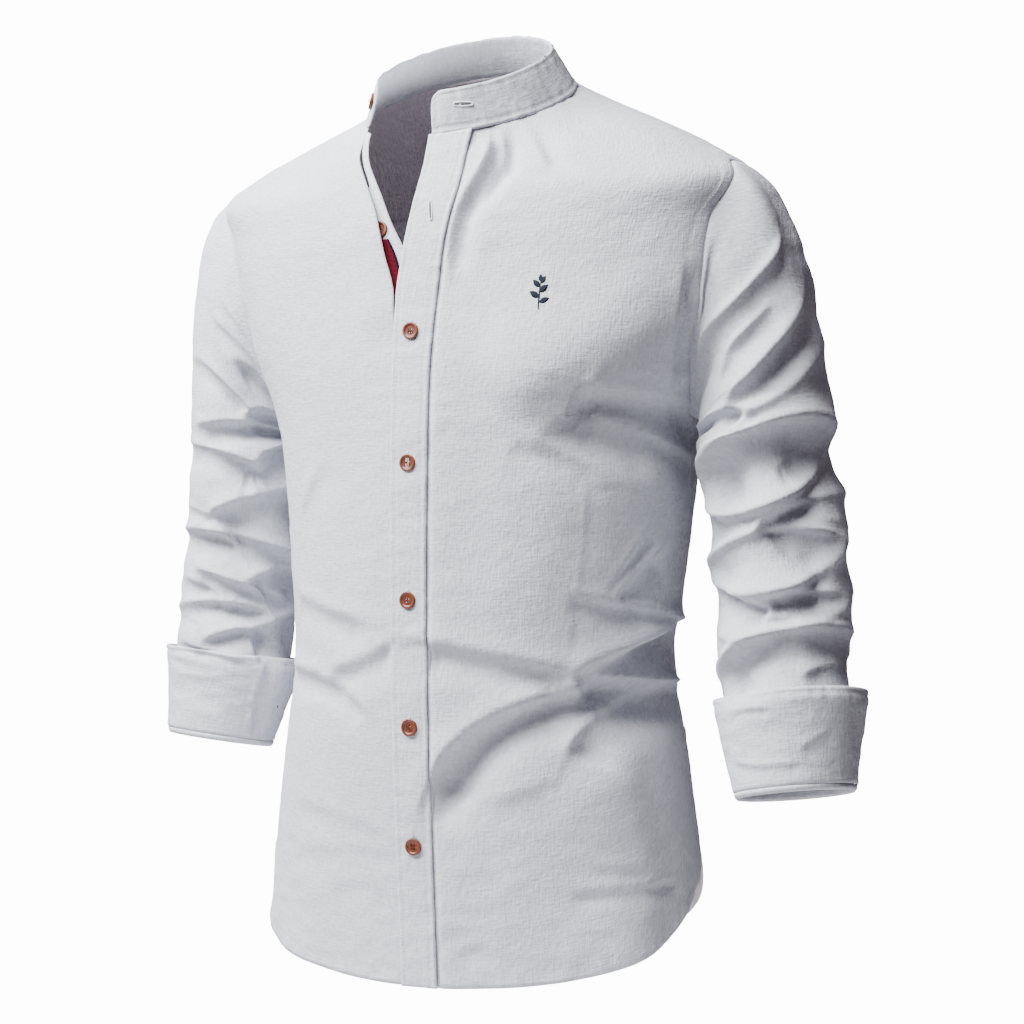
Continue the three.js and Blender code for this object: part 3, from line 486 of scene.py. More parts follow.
def hem_level(degrees):
    front = (degrees < SIDE_SEAM_AT_HEM) | (degrees > 180 - SIDE_SEAM_AT_HEM)
    turn = np.abs(np.where(degrees > 90, degrees - 270, degrees + 90)) / (90 + SIDE_SEAM_AT_HEM)
    ahead = mix(HEM_FRONT, HEM_SIDE, np.clip(turn, 0, 1) ** 2.2)
    behind = mix(HEM_BACK, HEM_SIDE, np.clip(np.abs(degrees - 90) / (90 - SIDE_SEAM_AT_HEM), 0, 1) ** 1.6)
    return np.where(front, ahead, behind)


def side_seam(rise):
    return mix(SIDE_SEAM_AT_HEM, SIDE_SEAM_AT_PIT, smooth(rise, 0.2, 1))


def body_relief(level, degrees):
    """Creases and unevenness of the body's cloth, the same on every piece of it."""
    relief = crease_height(BODY_CREASES, degrees, level, BODY_PER_DEGREE, -1)
    p = body_point(level, degrees)
    relief = relief + 0.9 * noise(p, 72, 3) + 0.35 * noise(p, 23, 5)
    low = smooth(level, -520, -690)
    crumple = noise(p * [1, 1, 2.2], 17, 7)
    relief = relief + (0.34 + 0.3 * low) * crumple + 0.12 * noise(p * [1, 1, 1.5], 7, 9)
    return relief * (1 - 0.75 * smooth(level, -10, 10))


# Mesh and object makers

def new_object(name, vertices, faces, uvs=None, materials=(), slot=None, nodes=(), indices=None):
    """Makes a finished object from points in millimetres."""
    mesh = bpy.data.meshes.new(name)
    vertices = np.asarray(vertices, float) * MM
    faces = np.asarray(faces, np.int64)
    corners = faces.shape[1]
    mesh.vertices.add(len(vertices))
    mesh.vertices.foreach_set("co", vertices.ravel())
    mesh.loops.add(faces.size)
    mesh.loops.foreach_set("vertex_index", faces.ravel())
    mesh.polygons.add(len(faces))
    mesh.polygons.foreach_set("loop_start", np.arange(0, faces.size, corners))
    mesh.polygons.foreach_set("use_smooth", np.ones(len(faces), bool))
    if uvs is not None:
        layer = mesh.uv_layers.new(name="cloth")
        layer.data.foreach_set("uv", (np.asarray(uvs, float) * MM).ravel())
    if indices is not None:
        mesh.polygons.foreach_set("material_index", np.asarray(indices, np.int32))
    mesh.update(calc_edges=True)
    mesh.validate()
    obj = bpy.data.objects.new(name, mesh)
    bpy.context.scene.collection.objects.link(obj)
    for material in materials:
        mesh.materials.append(material)
    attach(obj, "root")
    if nodes:
        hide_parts(*nodes)
    return obj


def shell(name, outer, inner, uv, closed, **rest):
    """A closed cloth wall from two grids of points. uv has one column more on a closed ring.
    Its inner face takes the second material, if there is one."""
    rows, columns = outer.shape[:2]
    spans = columns if closed else columns - 1
    i, j = np.meshgrid(np.arange(rows - 1), np.arange(spans), indexing="ij")
    i, j = i.ravel(), j.ravel()
    size = rows * columns

    def at(a, b, face):
        return face * size + a * columns + b % columns

    def walk(parts):
        face = np.stack([at(a, b, f) for a, b, f in parts], axis=-1)
        loop = np.stack([uv[a, b] for a, b, f in parts], axis=-2)
        return face, loop

    edge = np.arange(spans)
    low, high = np.zeros_like(edge), np.full_like(edge, rows - 1)
    made = [
        walk([(i, j, 0), (i, j + 1, 0), (i + 1, j + 1, 0), (i + 1, j, 0)]),
        walk([(i, j, 1), (i + 1, j, 1), (i + 1, j + 1, 1), (i, j + 1, 1)]),
        walk([(low, edge, 0), (low, edge, 1), (low, edge + 1, 1), (low, edge + 1, 0)]),
        walk([(high, edge, 0), (high, edge + 1, 0), (high, edge + 1, 1), (high, edge, 1)]),
    ]
    if not closed:
        side = np.arange(rows - 1)
        start, end = np.zeros_like(side), np.full_like(side, columns - 1)
        made.append(walk([(side, start, 0), (side + 1, start, 0), (side + 1, start, 1), (side, start, 1)]))
        made.append(walk([(side, end, 0), (side, end, 1), (side + 1, end, 1), (side + 1, end, 0)]))
    faces = np.concatenate([m[0] for m in made])
    uvs = np.concatenate([m[1] for m in made])
    face_material = np.concatenate([np.full(len(m[0]), k == 1) for k, m in enumerate(made)])
    points = np.concatenate([outer.reshape(-1, 3), inner.reshape(-1, 3)])
    a, b, c, d = (points[faces[:, k]] for k in range(4))
    volume = np.einsum("ij,ij->", a, np.cross(b, c)) + np.einsum("ij,ij->", a, np.cross(c, d))
    if volume < 0:
        faces, uvs = faces[:, ::-1], uvs[:, ::-1]
    indices = face_material if len(rest.get("materials", ())) > 1 else None
    return new_object(name, points, faces, uvs.reshape(-1, 2), indices=indices, **rest)


def lengths(points, axis):
    """Lengths from the first point of each row or column of a grid, or of one path."""
    step = np.linalg.norm(np.diff(points, axis=axis), axis=-1)
    start = np.zeros_like(np.take(step, [0], axis=axis))
    return np.concatenate([start, np.cumsum(step, axis=axis)], axis=axis)


def resample(points, others, spacing):
    """Points and their companions at even steps along a path."""
    length = lengths(points, 0)
    count = max(2, int(length[-1] / spacing))
    at = (np.arange(count) + 0.5) * length[-1] / count

    def take(values):
        return np.stack([np.interp(at, length, column) for column in values.T], axis=1)

    return take(points), [take(o) for o in others]


def stitches(paths, pitch, length, width, lift):
    """Vertices and faces of rows of stitches lying on paths, each a pair of points and normals."""
    all_points, all_faces, count = [], [], 0
    for points, normals in paths:
        centres, (up,) = resample(points, [normals], pitch)
        up = unit(up)
        tangent = unit(np.gradient(centres, axis=0))
        side = unit(np.cross(up, tangent))
        up = unit(np.cross(tangent, side))
        ring = [(-0.32, 0.75), (0, 1.0), (0.32, 0.75)]
        local = [(-0.5, 0, 0)]
        for t, r in ring:
            for k in range(5):
                a = math.radians(90 + 72 * k)
                local.append((t, r * math.cos(a), 0.55 * r * math.sin(a)))
        local.append((0.5, 0, 0))
        local = np.array(local)
        shape = (
            centres[:, None]
            + tangent[:, None] * (local[None, :, :1] * length)
            + side[:, None] * (local[None, :, 1:2] * width / 2)
            + up[:, None] * (local[None, :, 2:] * width / 2 + lift)
        )
        faces = []
        for k in range(5):
            m = (k + 1) % 5
            faces.append((0, 1 + m, 1 + k))
            faces.append((16, 11 + k, 11 + m))
            for ring_start in (1, 6):
                a, b = ring_start + k, ring_start + m
                faces.append((a, b, b + 5))
                faces.append((a, b + 5, a + 5))
        faces = np.array(faces)
        start = count + 17 * np.arange(len(centres))
        all_points.append(shape.reshape(-1, 3))
        all_faces.append((faces[None] + start[:, None, None]).reshape(-1, 3))
        count += 17 * len(centres)
    return np.concatenate(all_points), np.concatenate(all_faces)


# Materials

class Nodes:
    """A short way to write a node tree."""

    def __init__(self, tree):
        self.tree = tree

    def add(self, kind, **values):
        node = self.tree.nodes.new(kind)
        for key, value in values.items():
            if hasattr(node, key):
                setattr(node, key, value)
            else:
                raise AttributeError(f"{kind} has no {key}")
        return node

    def put(self, value, socket):
        if isinstance(value, bpy.types.NodeSocket):
            self.tree.links.new(value, socket)
        else:
            socket.default_value = value

    def math(self, operation, *values):
        node = self.add("ShaderNodeMath", operation=operation)
        for k, value in enumerate(values):
            self.put(value, node.inputs[k])
        return node.outputs[0]

    def vector(self, operation, *values):
        node = self.add("ShaderNodeVectorMath", operation=operation)
        for k, value in enumerate(values):
            self.put(value, node.inputs[k])
        return node.outputs[0]

    def noise(self, vector, scale, detail):
        node = self.add("ShaderNodeTexNoise")
        self.put(vector, node.inputs["Vector"])
        self.put(scale, node.inputs["Scale"])
        self.put(detail, node.inputs["Detail"])
        return node.outputs["Fac"]

    def blend(self, fac, a, b):
        node = self.add("ShaderNodeMix", data_type="RGBA")
        self.put(fac, node.inputs["Factor"])
        self.put(a, node.inputs["A"])
        self.put(b, node.inputs["B"])
        return node.outputs["Result"]


def new_material(name):
    material = bpy.data.materials.new(name)
    material.use_nodes = True
    nodes = Nodes(material.node_tree)
    shader = material.node_tree.nodes["Principled BSDF"]
    return material, nodes, shader


def get_material(name, make):
    return bpy.data.materials.get(name) or make(name)


LINEN_COLOUR = (0.53, 0.545, 0.6)
# Painted shade: the inner faces take this darker, warmer copy of the linen colour in place of the shadow
# inside the shirt.
LINEN_INSIDE_PAINTED_SHADE = (0.5, 0.465, 0.51)


def linen_inside_painted_shade(name):
    """The cloth's inner face: the same linen with a darker, warmer colour that paints the shade it is seen
    in.
    """
    return linen(name, LINEN_INSIDE_PAINTED_SHADE)


def linen_double(name):
    """Cloth over an interlining, which looks a little darker."""
    return linen(name, tuple(0.9 * value for value in LINEN_COLOUR))


def cloth_with_painted_shade_inside():
    # The second material paints shade on the inner faces.
    return [get_material("Linen", linen), get_material("Linen inside", linen_inside_painted_shade)]


def linen(name, tint=LINEN_COLOUR):
    """Slubby plain-woven cloth. Its threads run along the cloth's own two directions."""
    material, n, shader = new_material(name)
    uv = n.add("ShaderNodeUVMap", uv_map="cloth").outputs["UV"]
    warp = n.noise(n.vector("MULTIPLY", uv, (560, 85, 1)), 1, 2)
    weft = n.noise(n.vector("MULTIPLY", uv, (100, 520, 1)), 1, 2)
    mottle = n.noise(n.vector("MULTIPLY", uv, (250, 220, 1)), 1, 3)
    threads = n.math("ADD", n.math("MULTIPLY", warp, 0.36), n.math("MULTIPLY", weft, 0.3))
    threads = n.math("ADD", threads, n.math("MULTIPLY", mottle, 0.44))
    shade = n.math("ADD", n.math("MULTIPLY", threads, 0.7), 0.615)
    colour = n.add("ShaderNodeVectorMath", operation="SCALE")
    n.put(tint, colour.inputs[0])
    n.put(shade, colour.inputs["Scale"])
    n.put(colour.outputs[0], shader.inputs["Base Color"])
    n.put(0.92, shader.inputs["Roughness"])
    n.put(0.15, shader.inputs["Specular IOR Level"])
    bump = n.add("ShaderNodeBump")
    n.put(0.8, bump.inputs["Strength"])
    n.put(0.0017, bump.inputs["Distance"])
    n.put(threads, bump.inputs["Height"])
    n.put(bump.outputs["Normal"], shader.inputs["Normal"])
    return material


def plain(name, colour, roughness, specular=0.3):
    material, n, shader = new_material(name)
    n.put((*colour, 1), shader.inputs["Base Color"])
    n.put(roughness, shader.inputs["Roughness"])
    n.put(specular, shader.inputs["Specular IOR Level"])
    return material


def thread(name):
    return plain(name, (0.66, 0.67, 0.72), 0.8)


def ribbon(name):
    """Ribbed ribbon: red with a dark edge on both sides. u is 0 to 14 mm across it."""
    material, n, shader = new_material(name)
    uv = n.add("ShaderNodeUVMap", uv_map="cloth").outputs["UV"]
    parts = n.add("ShaderNodeSeparateXYZ")
    n.put(uv, parts.inputs[0])
    across = parts.outputs["X"]
    from_middle = n.math("ABSOLUTE", n.math("SUBTRACT", across, TAPE_WIDTH / 2 * MM))
    dark = n.math("GREATER_THAN", from_middle, 0.0052)
    colour = n.blend(dark, (0.07, 0.001, 0.007, 1), (0.003, 0.004, 0.009, 1))
    n.put(colour, shader.inputs["Base Color"])
    n.put(0.85, shader.inputs["Roughness"])
    n.put(0.08, shader.inputs["Specular IOR Level"])
    ribs = n.math("SINE", n.math("MULTIPLY", parts.outputs["Y"], 2 * math.pi / 0.0012))
    bump = n.add("ShaderNodeBump")
    n.put(0.5, bump.inputs["Strength"])
    n.put(0.0003, bump.inputs["Distance"])
    n.put(ribs, bump.inputs["Height"])
    n.put(bump.outputs["Normal"], shader.inputs["Normal"])
    return material


def wood(name):
    """Reddish-brown turned wood with fine darker grain."""
    material, n, shader = new_material(name)
    place = n.add("ShaderNodeTexCoord").outputs["Object"]
    grain = n.noise(n.vector("MULTIPLY", place, (1500, 300, 220)), 1, 3)
    colour = n.blend(grain, (0.2, 0.052, 0.022, 1), (0.06, 0.013, 0.006, 1))
    n.put(colour, shader.inputs["Base Color"])
    n.put(0.38, shader.inputs["Roughness"])
    return material


# Sizes that can be set

def size(name, description, metres):
    return bpy.props.FloatProperty(name=name, description=description, default=metres, unit="LENGTH")


def amount(name, description, value):
    return bpy.props.FloatProperty(name=name, description=description, default=value)


class ShirtSizes(bpy.types.PropertyGroup):
    cloth: size("Cloth", "Thickness of one layer of cloth", 0.0009)
    body_columns: bpy.props.IntProperty(
        name="Body columns", description="Cells across each front", default=112, min=8)
    sleeve_columns: bpy.props.IntProperty(
        name="Sleeve columns", description="Cells round each sleeve", default=140, min=12)
    sleeve_rows: bpy.props.IntProperty(
        name="Sleeve rows", description="Cells along each sleeve", default=215, min=12)
    stitch_pitch: size("Stitch pitch", "Length from one stitch to the next", 0.0032)
    stitch_length: size("Stitch length", "Length of one stitch", 0.0024)
    stitch_width: size("Stitch width", "Width of one stitch", 0.0005)


class TrimSizes(bpy.types.PropertyGroup):
    button_radius: size("Button radius", "Outer radius of a button", 0.0072)
    button_thick: size("Button thickness", "Thickness of a button at its rim", 0.0028)
    hole_radius: size("Hole radius", "Radius of each thread hole", 0.00085)
    hole_spread: size("Hole spread", "Distance of a hole from the button's middle", 0.0019)
    buttonhole: size("Buttonhole", "Length of a buttonhole", 0.016)
    sprig_height: size("Sprig height", "Height of the embroidered sprig", 0.027)


class StageSizes(bpy.types.PropertyGroup):
    azimuth: bpy.props.FloatProperty(
        name="Azimuth", description="Camera's turn towards the wearer's left",
        default=math.radians(27), subtype="ANGLE")
    distance: size("Distance", "Camera's distance", 2.4)
    lens: amount("Lens", "Focal length in millimetres", 96.6)
    floor_radius: size("Floor radius", "Radius of the floor", 0.74)
    floor_level: size("Floor level", "Height of the floor", -0.96)
    backdrop: amount("Backdrop", "Brightness of the white surroundings behind the shirt", 14)
    fill: amount("Fill", "Brightness of the soft light from all round", 0.13)
    key_distance: size("Key distance", "Distance of the soft light above", 1.8)
    side_distance: size("Side distance", "Distance of the soft light on the left", 3.0)
    key_power: amount("Key", "Power of the soft light from above, in watts", 142)
    side_power: amount("Side light", "Power of the soft light from the left, in watts", 150)
    neck_power: amount("Neck light", "Power of the small light inside the collar, in watts", 0.27)


def shirt():
    return bpy.context.scene.shirt_sizes


def trim():
    return bpy.context.scene.trim_sizes


# Cloth pieces

def front_places(side):
    """Levels and angles of a front's grid, from the middle edge to the side."""
    columns = shirt().body_columns
    half = SEAM_GAP / 2
    margin = half / BODY_PER_DEGREE
    share = np.linspace(0, 1, columns + 1)
    levels, outers, rises = [], [], []
    for rise in np.linspace(0, 1, 116)[:-1]:
        rises.append(rise)
        levels.append(mix(HEM_FRONT, PIT_LEVEL, rise))
        outers.append(side_seam(rise) - margin)
    turns = np.linspace(180, YOKE_TURN, 62)
    for k, turn in enumerate(turns):
        level, angle = armhole(turn, "left", half)
        rises.append(None)
        levels.append(float(level))
        outers.append(float(angle) - (margin if k == 0 or k == len(turns) - 1 else 0))
    corner_level, corner_angle = (float(v) for v in armhole(YOKE_TURN, "left", 0))
    shoulder_level, shoulder_rows = levels[-1], 18
    for k in range(1, shoulder_rows + 1):
        level = mix(shoulder_level, NECK_LEVEL, k / shoulder_rows)
        t = (level - corner_level) / (NECK_LEVEL - corner_level)
        rises.append(None)
        levels.append(level)
        outers.append(mix(corner_angle, YOKE_NECK_FRONT, t) - 3 * margin)
    level_grid, angle_grid = [], []
    for rise, level, outer in zip(rises, levels, outers):
        if side == "left":
            start = float(angle_at(level, edge_x(level, PLACKET_RIGHT) - 2.5))
            angle = mix(start, outer, share)
        else:
            start = float(angle_at(level, edge_x(level, FOLD))) + 360
            angle = mix(start, 180 - outer, share)
        level = np.full_like(angle, level) if rise is None else mix(hem_level(angle), PIT_LEVEL, rise)
        beyond = HAND[side] * TUCK / BODY_PER_DEGREE
        angle_grid.append(np.append(angle, angle[-1] + beyond))
        level_grid.append(np.append(level, level[-1]))
    return np.array(level_grid), np.array(angle_grid)


def hem_relief(level, degrees):
    """The turned hem stands proud, with small puckers along its stitching."""
    up = level - hem_level(degrees)
    band = 1 - smooth(up, 5.5, 7.5)
    place = np.stack([degrees * BODY_PER_DEGREE, level * 0, level * 0], axis=-1)
    pucker = noise(place, 5.5, 21) * bell(up - 6, 5)
    groove = -0.35 * bell(up - HEM_STITCH, 1.1)
    wave = noise(place, 34, 22) * bell(up, 26)
    return 0.45 * band + 0.6 * pucker + groove + 1.4 * wave


def armhole_relief(points, level):
    """The flat-felled armhole seam: a band beside the edge with a stitched groove."""
    off = armhole_distance(points, level)
    off = np.where(np.abs(points[..., 0]) < 120, 100, off)
    band = (1 - smooth(off, 8.5, 10.5)) * 0.5
    groove = -0.4 * bell(off - ARMHOLE_STITCH, 1.2) - 0.7 * bell(off, 1.3)
    pucker = 0.25 * noise(points, 7, 31) * bell(off - ARMHOLE_STITCH, 5)
    return band + groove + pucker


def left_lift(points, level):
    past = points[..., 0] - edge_x(level, PLACKET_RIGHT)
    high = 3.4 * (1 - smooth(level, -15, 10)) * (1 - smooth(past, 0, 50))
    dip = (1 - smooth(past, 0.5, 5)) * 1.9 * (1 - smooth(level, -15, 5))
    return high - dip


def right_lift(points, level):
    past = edge_x(level, FOLD) - points[..., 0]
    over = bell(level - OPEN_BUTTON_LEVEL, 22)
    lift = 4 + 1.6 * over
    lip = smooth(level, -205, -170) * (1 - smooth(level, -15, 10))
    return lift * lip * (1 - smooth(past, 0, 50))


def tuck(relief, level, angle, rows, columns):
    """Sends the outermost rows or columns of a piece under the cloth of its neighbour."""
    relief[rows, columns] = (body_relief(level, angle) - UNDER_NEIGHBOUR)[rows, columns]


def cloth_uv(points, seam):
    """Lengths across and along the cloth, from its own shape, so that threads keep their size."""
    across = lengths(points, 1)
    middle = points.shape[1] // 2
    up = lengths(points[:, middle], 0)
    return np.stack([across - across[:, seam][:, None], np.broadcast_to(up[:, None], across.shape)], axis=-1)


def cloth_wall(form, normal, height):
    """Outer and inner points of one layer of cloth that stands above a form."""
    outer = form + normal * height[..., None]
    return outer, outer - normal * (shirt().cloth / MM)


def add_front(side):
    level, angle = front_places(side)
    form, normal = body_place(level, angle)
    lift = left_lift(form, level) if side == "left" else right_lift(form, level)
    relief = body_relief(level, angle) + hem_relief(level, angle) + armhole_relief(form, level)
    column = PLACKET_RIGHT if side == "left" else FOLD
    from_edge = np.abs(form[..., 0] - edge_x(level, column))
    if side == "right":
        relief = relief - 0.9 * bell(from_edge, 2.2)
        relief = relief * smooth(from_edge, -4, 14)
    else:
        relief = relief * (0.35 + 0.65 * smooth(from_edge, 0, 9))
    tuck(relief, level, angle, slice(None), -1)
    outer, inner = cloth_wall(form, normal, lift + relief)
    obj = shell(f"front_{side}_cloth", outer, inner, cloth_uv(form, 0), False,
                materials=cloth_with_painted_shade_inside(), slot="linen_cloth", nodes=[f"front_{side}"])


def add_back():
    columns = shirt().body_columns + 38
    half = SEAM_GAP / 2
    margin = half / BODY_PER_DEGREE
    levels, outers, rises = [], [], []
    for rise in np.linspace(0, 1, 116)[:-1]:
        rises.append(rise)
        levels.append(0)
        outers.append(side_seam(rise) + margin)
    turns = np.linspace(180, YOKE_BACK_STEPS * YOKE_TURN, 60)
    for k, turn in enumerate(turns):
        level, angle = armhole(turn, "left", half)
        rises.append(None)
        levels.append(float(level) - (half if k == len(turns) - 1 else 0))
        outers.append(float(angle) + (margin if k == 0 else 0))
    share = np.linspace(0, 1, columns + 1)
    angle = np.array([mix(o, 180 - o, share) for o in outers])
    level = np.array([
        np.full(columns + 1, lv) if rise is None else mix(hem_level(a), PIT_LEVEL, rise)
        for rise, lv, a in zip(rises, levels, angle)
    ])
    angle, level = np.vstack([angle, angle[-1:]]), np.vstack([level, level[-1:] + TUCK])
    form, normal = body_place(level, angle)
    relief = body_relief(level, angle) + hem_relief(level, angle) + armhole_relief(form, level)
    tuck(relief, level, angle, -1, slice(None))
    outer, inner = cloth_wall(form, normal, relief)
    obj = shell("back_cloth", outer, inner, cloth_uv(form, columns // 2), False,
                materials=cloth_with_painted_shade_inside(), slot="linen_cloth", nodes=["back"])


def yoke_places(rows):
    half = SEAM_GAP / 2
    margin = half / BODY_PER_DEGREE
    outline = []
    for k in np.linspace(0, YOKE_SIDE_STEPS, 46):
        level, angle = (float(v) for v in armhole((1 - k) * YOKE_TURN, "left", half))
        outline.append([level, angle, mix(YOKE_NECK_FRONT, YOKE_NECK_BACK, k / YOKE_SIDE_STEPS)])
    outline[0][1] += margin
    outline[-1][0] += half
    level0, angle0 = outline[-1][0], outline[-1][1]
    for t in np.linspace(0, 1, 56)[1:]:
        outline.append([level0, mix(angle0, 90, t), mix(YOKE_NECK_BACK, 90, t)])
    whole = outline + [[lv, 180 - a, 180 - n] for lv, a, n in outline[-2::-1]]
    whole = np.array(whole)
    t = np.linspace(0, 1, rows + 1)[:, None]
    return mix(whole[None, :, 0], NECK_LEVEL, t), mix(whole[None, :, 1], whole[None, :, 2], t)


def add_yoke():
    level, angle = yoke_places(60)
    form, normal = body_place(level, angle)
    relief = body_relief(level, angle) + armhole_relief(form, level)
    outer, inner = cloth_wall(form, normal, relief)
    obj = shell("yoke_cloth", outer, inner, cloth_uv(form, form.shape[1] // 2), False,
                materials=cloth_with_painted_shade_inside(), slot="linen_cloth", nodes=["yoke"])


def strip_grid(left, right, bottom, top, rows, columns):
    level = np.linspace(bottom, top, rows + 1)[:, None]
    t = np.linspace(0, 1, columns + 1)[None, :]
    angle = mix(angle_at(level, left(level)), angle_at(level, right(level)), t)
    return np.broadcast_to(level, angle.shape), angle, np.broadcast_to(t, angle.shape)


def rounded(from_edge, radius):
    """How far a rounded edge falls below the flat face."""
    t = np.clip(from_edge / radius, 0, 1)
    return radius * (1 - np.sqrt(1 - (1 - t) ** 2))


def placket_places(rows, columns):
    left = lambda level: edge_x(level, PLACKET_LEFT)
    right = lambda level: edge_x(level, PLACKET_RIGHT)
    return strip_grid(left, right, HEM_FRONT, NECK_LEVEL - 2, rows, columns)


def placket_relief(level, form):
    """Stitched grooves beside both edges, with a dimple at each stitch and cockles between."""
    from_left = form[..., 0] - edge_x(level, PLACKET_LEFT)
    from_right = edge_x(level, PLACKET_RIGHT) - form[..., 0]
    groove = sum(bell(edge - EDGE_STITCH, 1.3) for edge in (from_left, from_right))
    cockle = noise(form * [0.35, 1, 1], 8, 41) * 0.42 + noise(form * [0.3, 1, 1], 22, 42) * 0.5
    return cockle - 0.5 * groove


def placket_lift(level, angle, form):
    """How far the placket's face stands above the body's form."""
    relief = placket_relief(level, form) + PLACKET_FOLLOWS * body_relief(level, angle)
    return PLACKET_LIFT + np.clip(relief, *PLACKET_RELIEF)


def add_placket():
    level, angle, t = placket_places(300, 26)
    form, normal = body_place(level, angle)
    width = edge_x(level, PLACKET_RIGHT) - edge_x(level, PLACKET_LEFT)
    from_edge = np.minimum(t, 1 - t) * width
    lift = placket_lift(level, angle, form)
    outer = form + normal * (lift - rounded(from_edge, 0.8))[..., None]
    inner = form + normal * (lift - PLACKET_THICK)[..., None]
    obj = shell("placket_cloth", outer, inner, cloth_uv(form, 0), False,
                materials=[get_material("Linen", linen)], slot="linen_cloth", nodes=["placket"])


def band_overlap(level):
    return mix(-1.2, 22, smooth(level, -175, -140) * (1 - smooth(level, -80, -45)))


def add_band():
    right = lambda level: edge_x(level, BAND_EDGE)
    left = lambda level: np.maximum(edge_x(level, FOLD) - band_overlap(level), right(level) - BAND_WIDTH)
    level, angle, t = strip_grid(left, right, HEM_FRONT, NECK_LEVEL - 3, 240, 14)
    form, normal = body_place(level, angle)
    width = right(level) - left(level)
    relief = 0.2 * noise(form * [0.4, 1, 1], 9, 51)
    outer = form + normal * (0.3 + relief - rounded((1 - t) * width, 0.6))[..., None]
    inner = form + normal * (-1.1 + relief)[..., None]
    obj = shell("band_cloth", outer, inner, cloth_uv(form, 0), False,
                materials=[get_material("Linen", linen)], slot="linen_cloth", nodes=["button_band"])


def add_tape():
    right = lambda level: edge_x(level, BAND_EDGE) - TAPE_INSET
    left = lambda level: right(level) - TAPE_WIDTH
    level, angle, t = strip_grid(left, right, HEM_FRONT + 12, OPEN_BUTTON_LEVEL - 10, 200, 6)
    form, normal = body_place(level, angle)
    outer = form + normal * 1.6
    inner = form + normal * 0.7
    uv = np.stack([t * TAPE_WIDTH, level], axis=-1)
    obj = shell("tape_ribbon", outer, inner, uv, False,
                materials=[get_material("Ribbon", ribbon)], slot="trim", nodes=["band_tape"])


def collar_form(rise, degrees):
    base = body_point(NECK_LEVEL, degrees)
    c, s = circle(degrees)
    y = COLLAR_RIM_CENTRE + COLLAR_RIM_Y * s
    rim = np.stack([COLLAR_RIM_X * c, y, COLLAR_RIM_LEVEL + COLLAR_RIM_TILT * y], axis=-1)
    reach = rim - base
    start = SEAM_GAP / np.linalg.norm(reach, axis=-1)
    point = base + reach * mix(start, 1, rise)[..., None]
    turn = np.stack([-s, c, 0 * c], axis=-1)
    return point, unit(np.cross(turn, reach)), np.linalg.norm(reach, axis=-1)


def collar_faces(angle, t):
    """Outer and inner points and normals of the collar, by angle and share of its height."""
    angle, t = np.broadcast_arrays(np.asarray(angle, float), np.asarray(t, float))
    from_end = np.minimum(angle - COLLAR_FROM, COLLAR_TO - angle) * COLLAR_PER_DEGREE
    corner = 1 - np.clip(from_end / COLLAR_CORNER, 0, 1)
    rise = t * (1 - 0.3 * (1 - np.sqrt(1 - corner**2)))
    point, normal, height = collar_form(rise, angle)
    up, down = t * height, (1 - t) * height
    over = COLLAR_OVER_PLACKET * (1 - smooth(angle, -75, -50))
    lines = (up - COLLAR_LOW_STITCH, down - COLLAR_HIGH_STITCH, from_end - EDGE_STITCH)
    groove = sum(bell(off, 1.2) for off in lines)
    place = np.stack([angle * COLLAR_PER_DEGREE, up, up * 0], axis=-1)
    near_seams = bell(np.minimum(up, down), 9)
    ripple = noise(place * [1.3, 0.45, 1], 8, 61) * (0.3 + 0.5 * near_seams) + noise(place, 5, 63) * 0.2
    relief = ripple + 0.7 * noise(place, 30, 62) - 0.55 * np.clip(groove, 0, 1.3)
    relief = relief + 0.6 * bell(up, 1.4)
    edge = np.minimum(down, np.minimum(up + 1.6, from_end + 0.3))
    outer = point + normal * (1.8 + over + relief - rounded(edge, 1.0))[..., None]
    inner = point + normal * (-0.6 + over + 0.6 * relief + rounded(edge, 0.9))[..., None]
    return outer, inner, normal, np.stack([angle * COLLAR_PER_DEGREE, up], axis=-1)


def add_collar():
    angle = np.linspace(COLLAR_FROM, COLLAR_TO, 301)[None, :]
    outer, inner, _, uv = collar_faces(angle, np.linspace(-0.04, 1, 30)[:, None])
    obj = shell("collar_cloth", outer, inner, uv, False,
                materials=[get_material("Linen of the collar", linen_double)],
                slot="linen_cloth", nodes=["collar"])


# Sleeves

def arm_frame(distance, degrees, side):
    rows, hand = ARM[side], HAND[side]

    def centre(d):
        return np.stack([hand * along(rows, 1, d), along(rows, 2, d), along(rows, 3, d)], axis=-1)

    end = rows[-1, 0]
    low, high = np.clip(distance - 1, rows[0, 0], end), np.clip(distance + 1, rows[0, 0], end)
    axis = unit(centre(high) - centre(low))
    sideways = unit(np.array([hand, 0, 0]) - axis * (hand * axis[..., :1]))
    forwards = np.cross(axis, sideways)
    forwards = forwards * np.where(forwards[..., 1:2] < 0, 1, -1)
    c, s = (share[..., None] for share in circle(degrees))
    point = (
        centre(distance)
        + sideways * along(rows, 4, distance)[..., None] * c
        + forwards * along(rows, 5, distance)[..., None] * s
    )
    return point, axis


def sleeve_form(distance, degrees, side):
    distance, degrees = np.broadcast_arrays(np.asarray(distance, float), np.asarray(degrees, float))
    hand = HAND[side]
    level, angle = armhole(degrees, side, -SEAM_GAP / 2)
    start = body_point(level, angle)
    finish, axis = arm_frame(np.maximum(distance, SLEEVE_BLEND), degrees, side)
    top = (1 + np.cos(np.radians(degrees))) / 2
    leave = np.stack([hand * (0.8 + 0.13 * top), 0 * top, 0.25 * top - 0.6], axis=-1)
    t = np.clip(distance / SLEEVE_BLEND, 0, 1)[..., None]
    rise = 3 * t * t - 2 * t**3
    stand = 3 * smooth(distance, 0, 12) * (1 - smooth(distance, 40, SLEEVE_BLEND)) * (1 - top)
    head = (top**1.3)[..., None]
    blended = (
        start + (finish - start) * rise
        + body_normal(level, angle) * stand[..., None]
        + leave * (25 + 135 * head) * t * (1 - t) ** 2
        - axis * (16 + 215 * head) * t * t * (1 - t)
    )
    return np.where((distance >= SLEEVE_BLEND)[..., None], finish, blended)


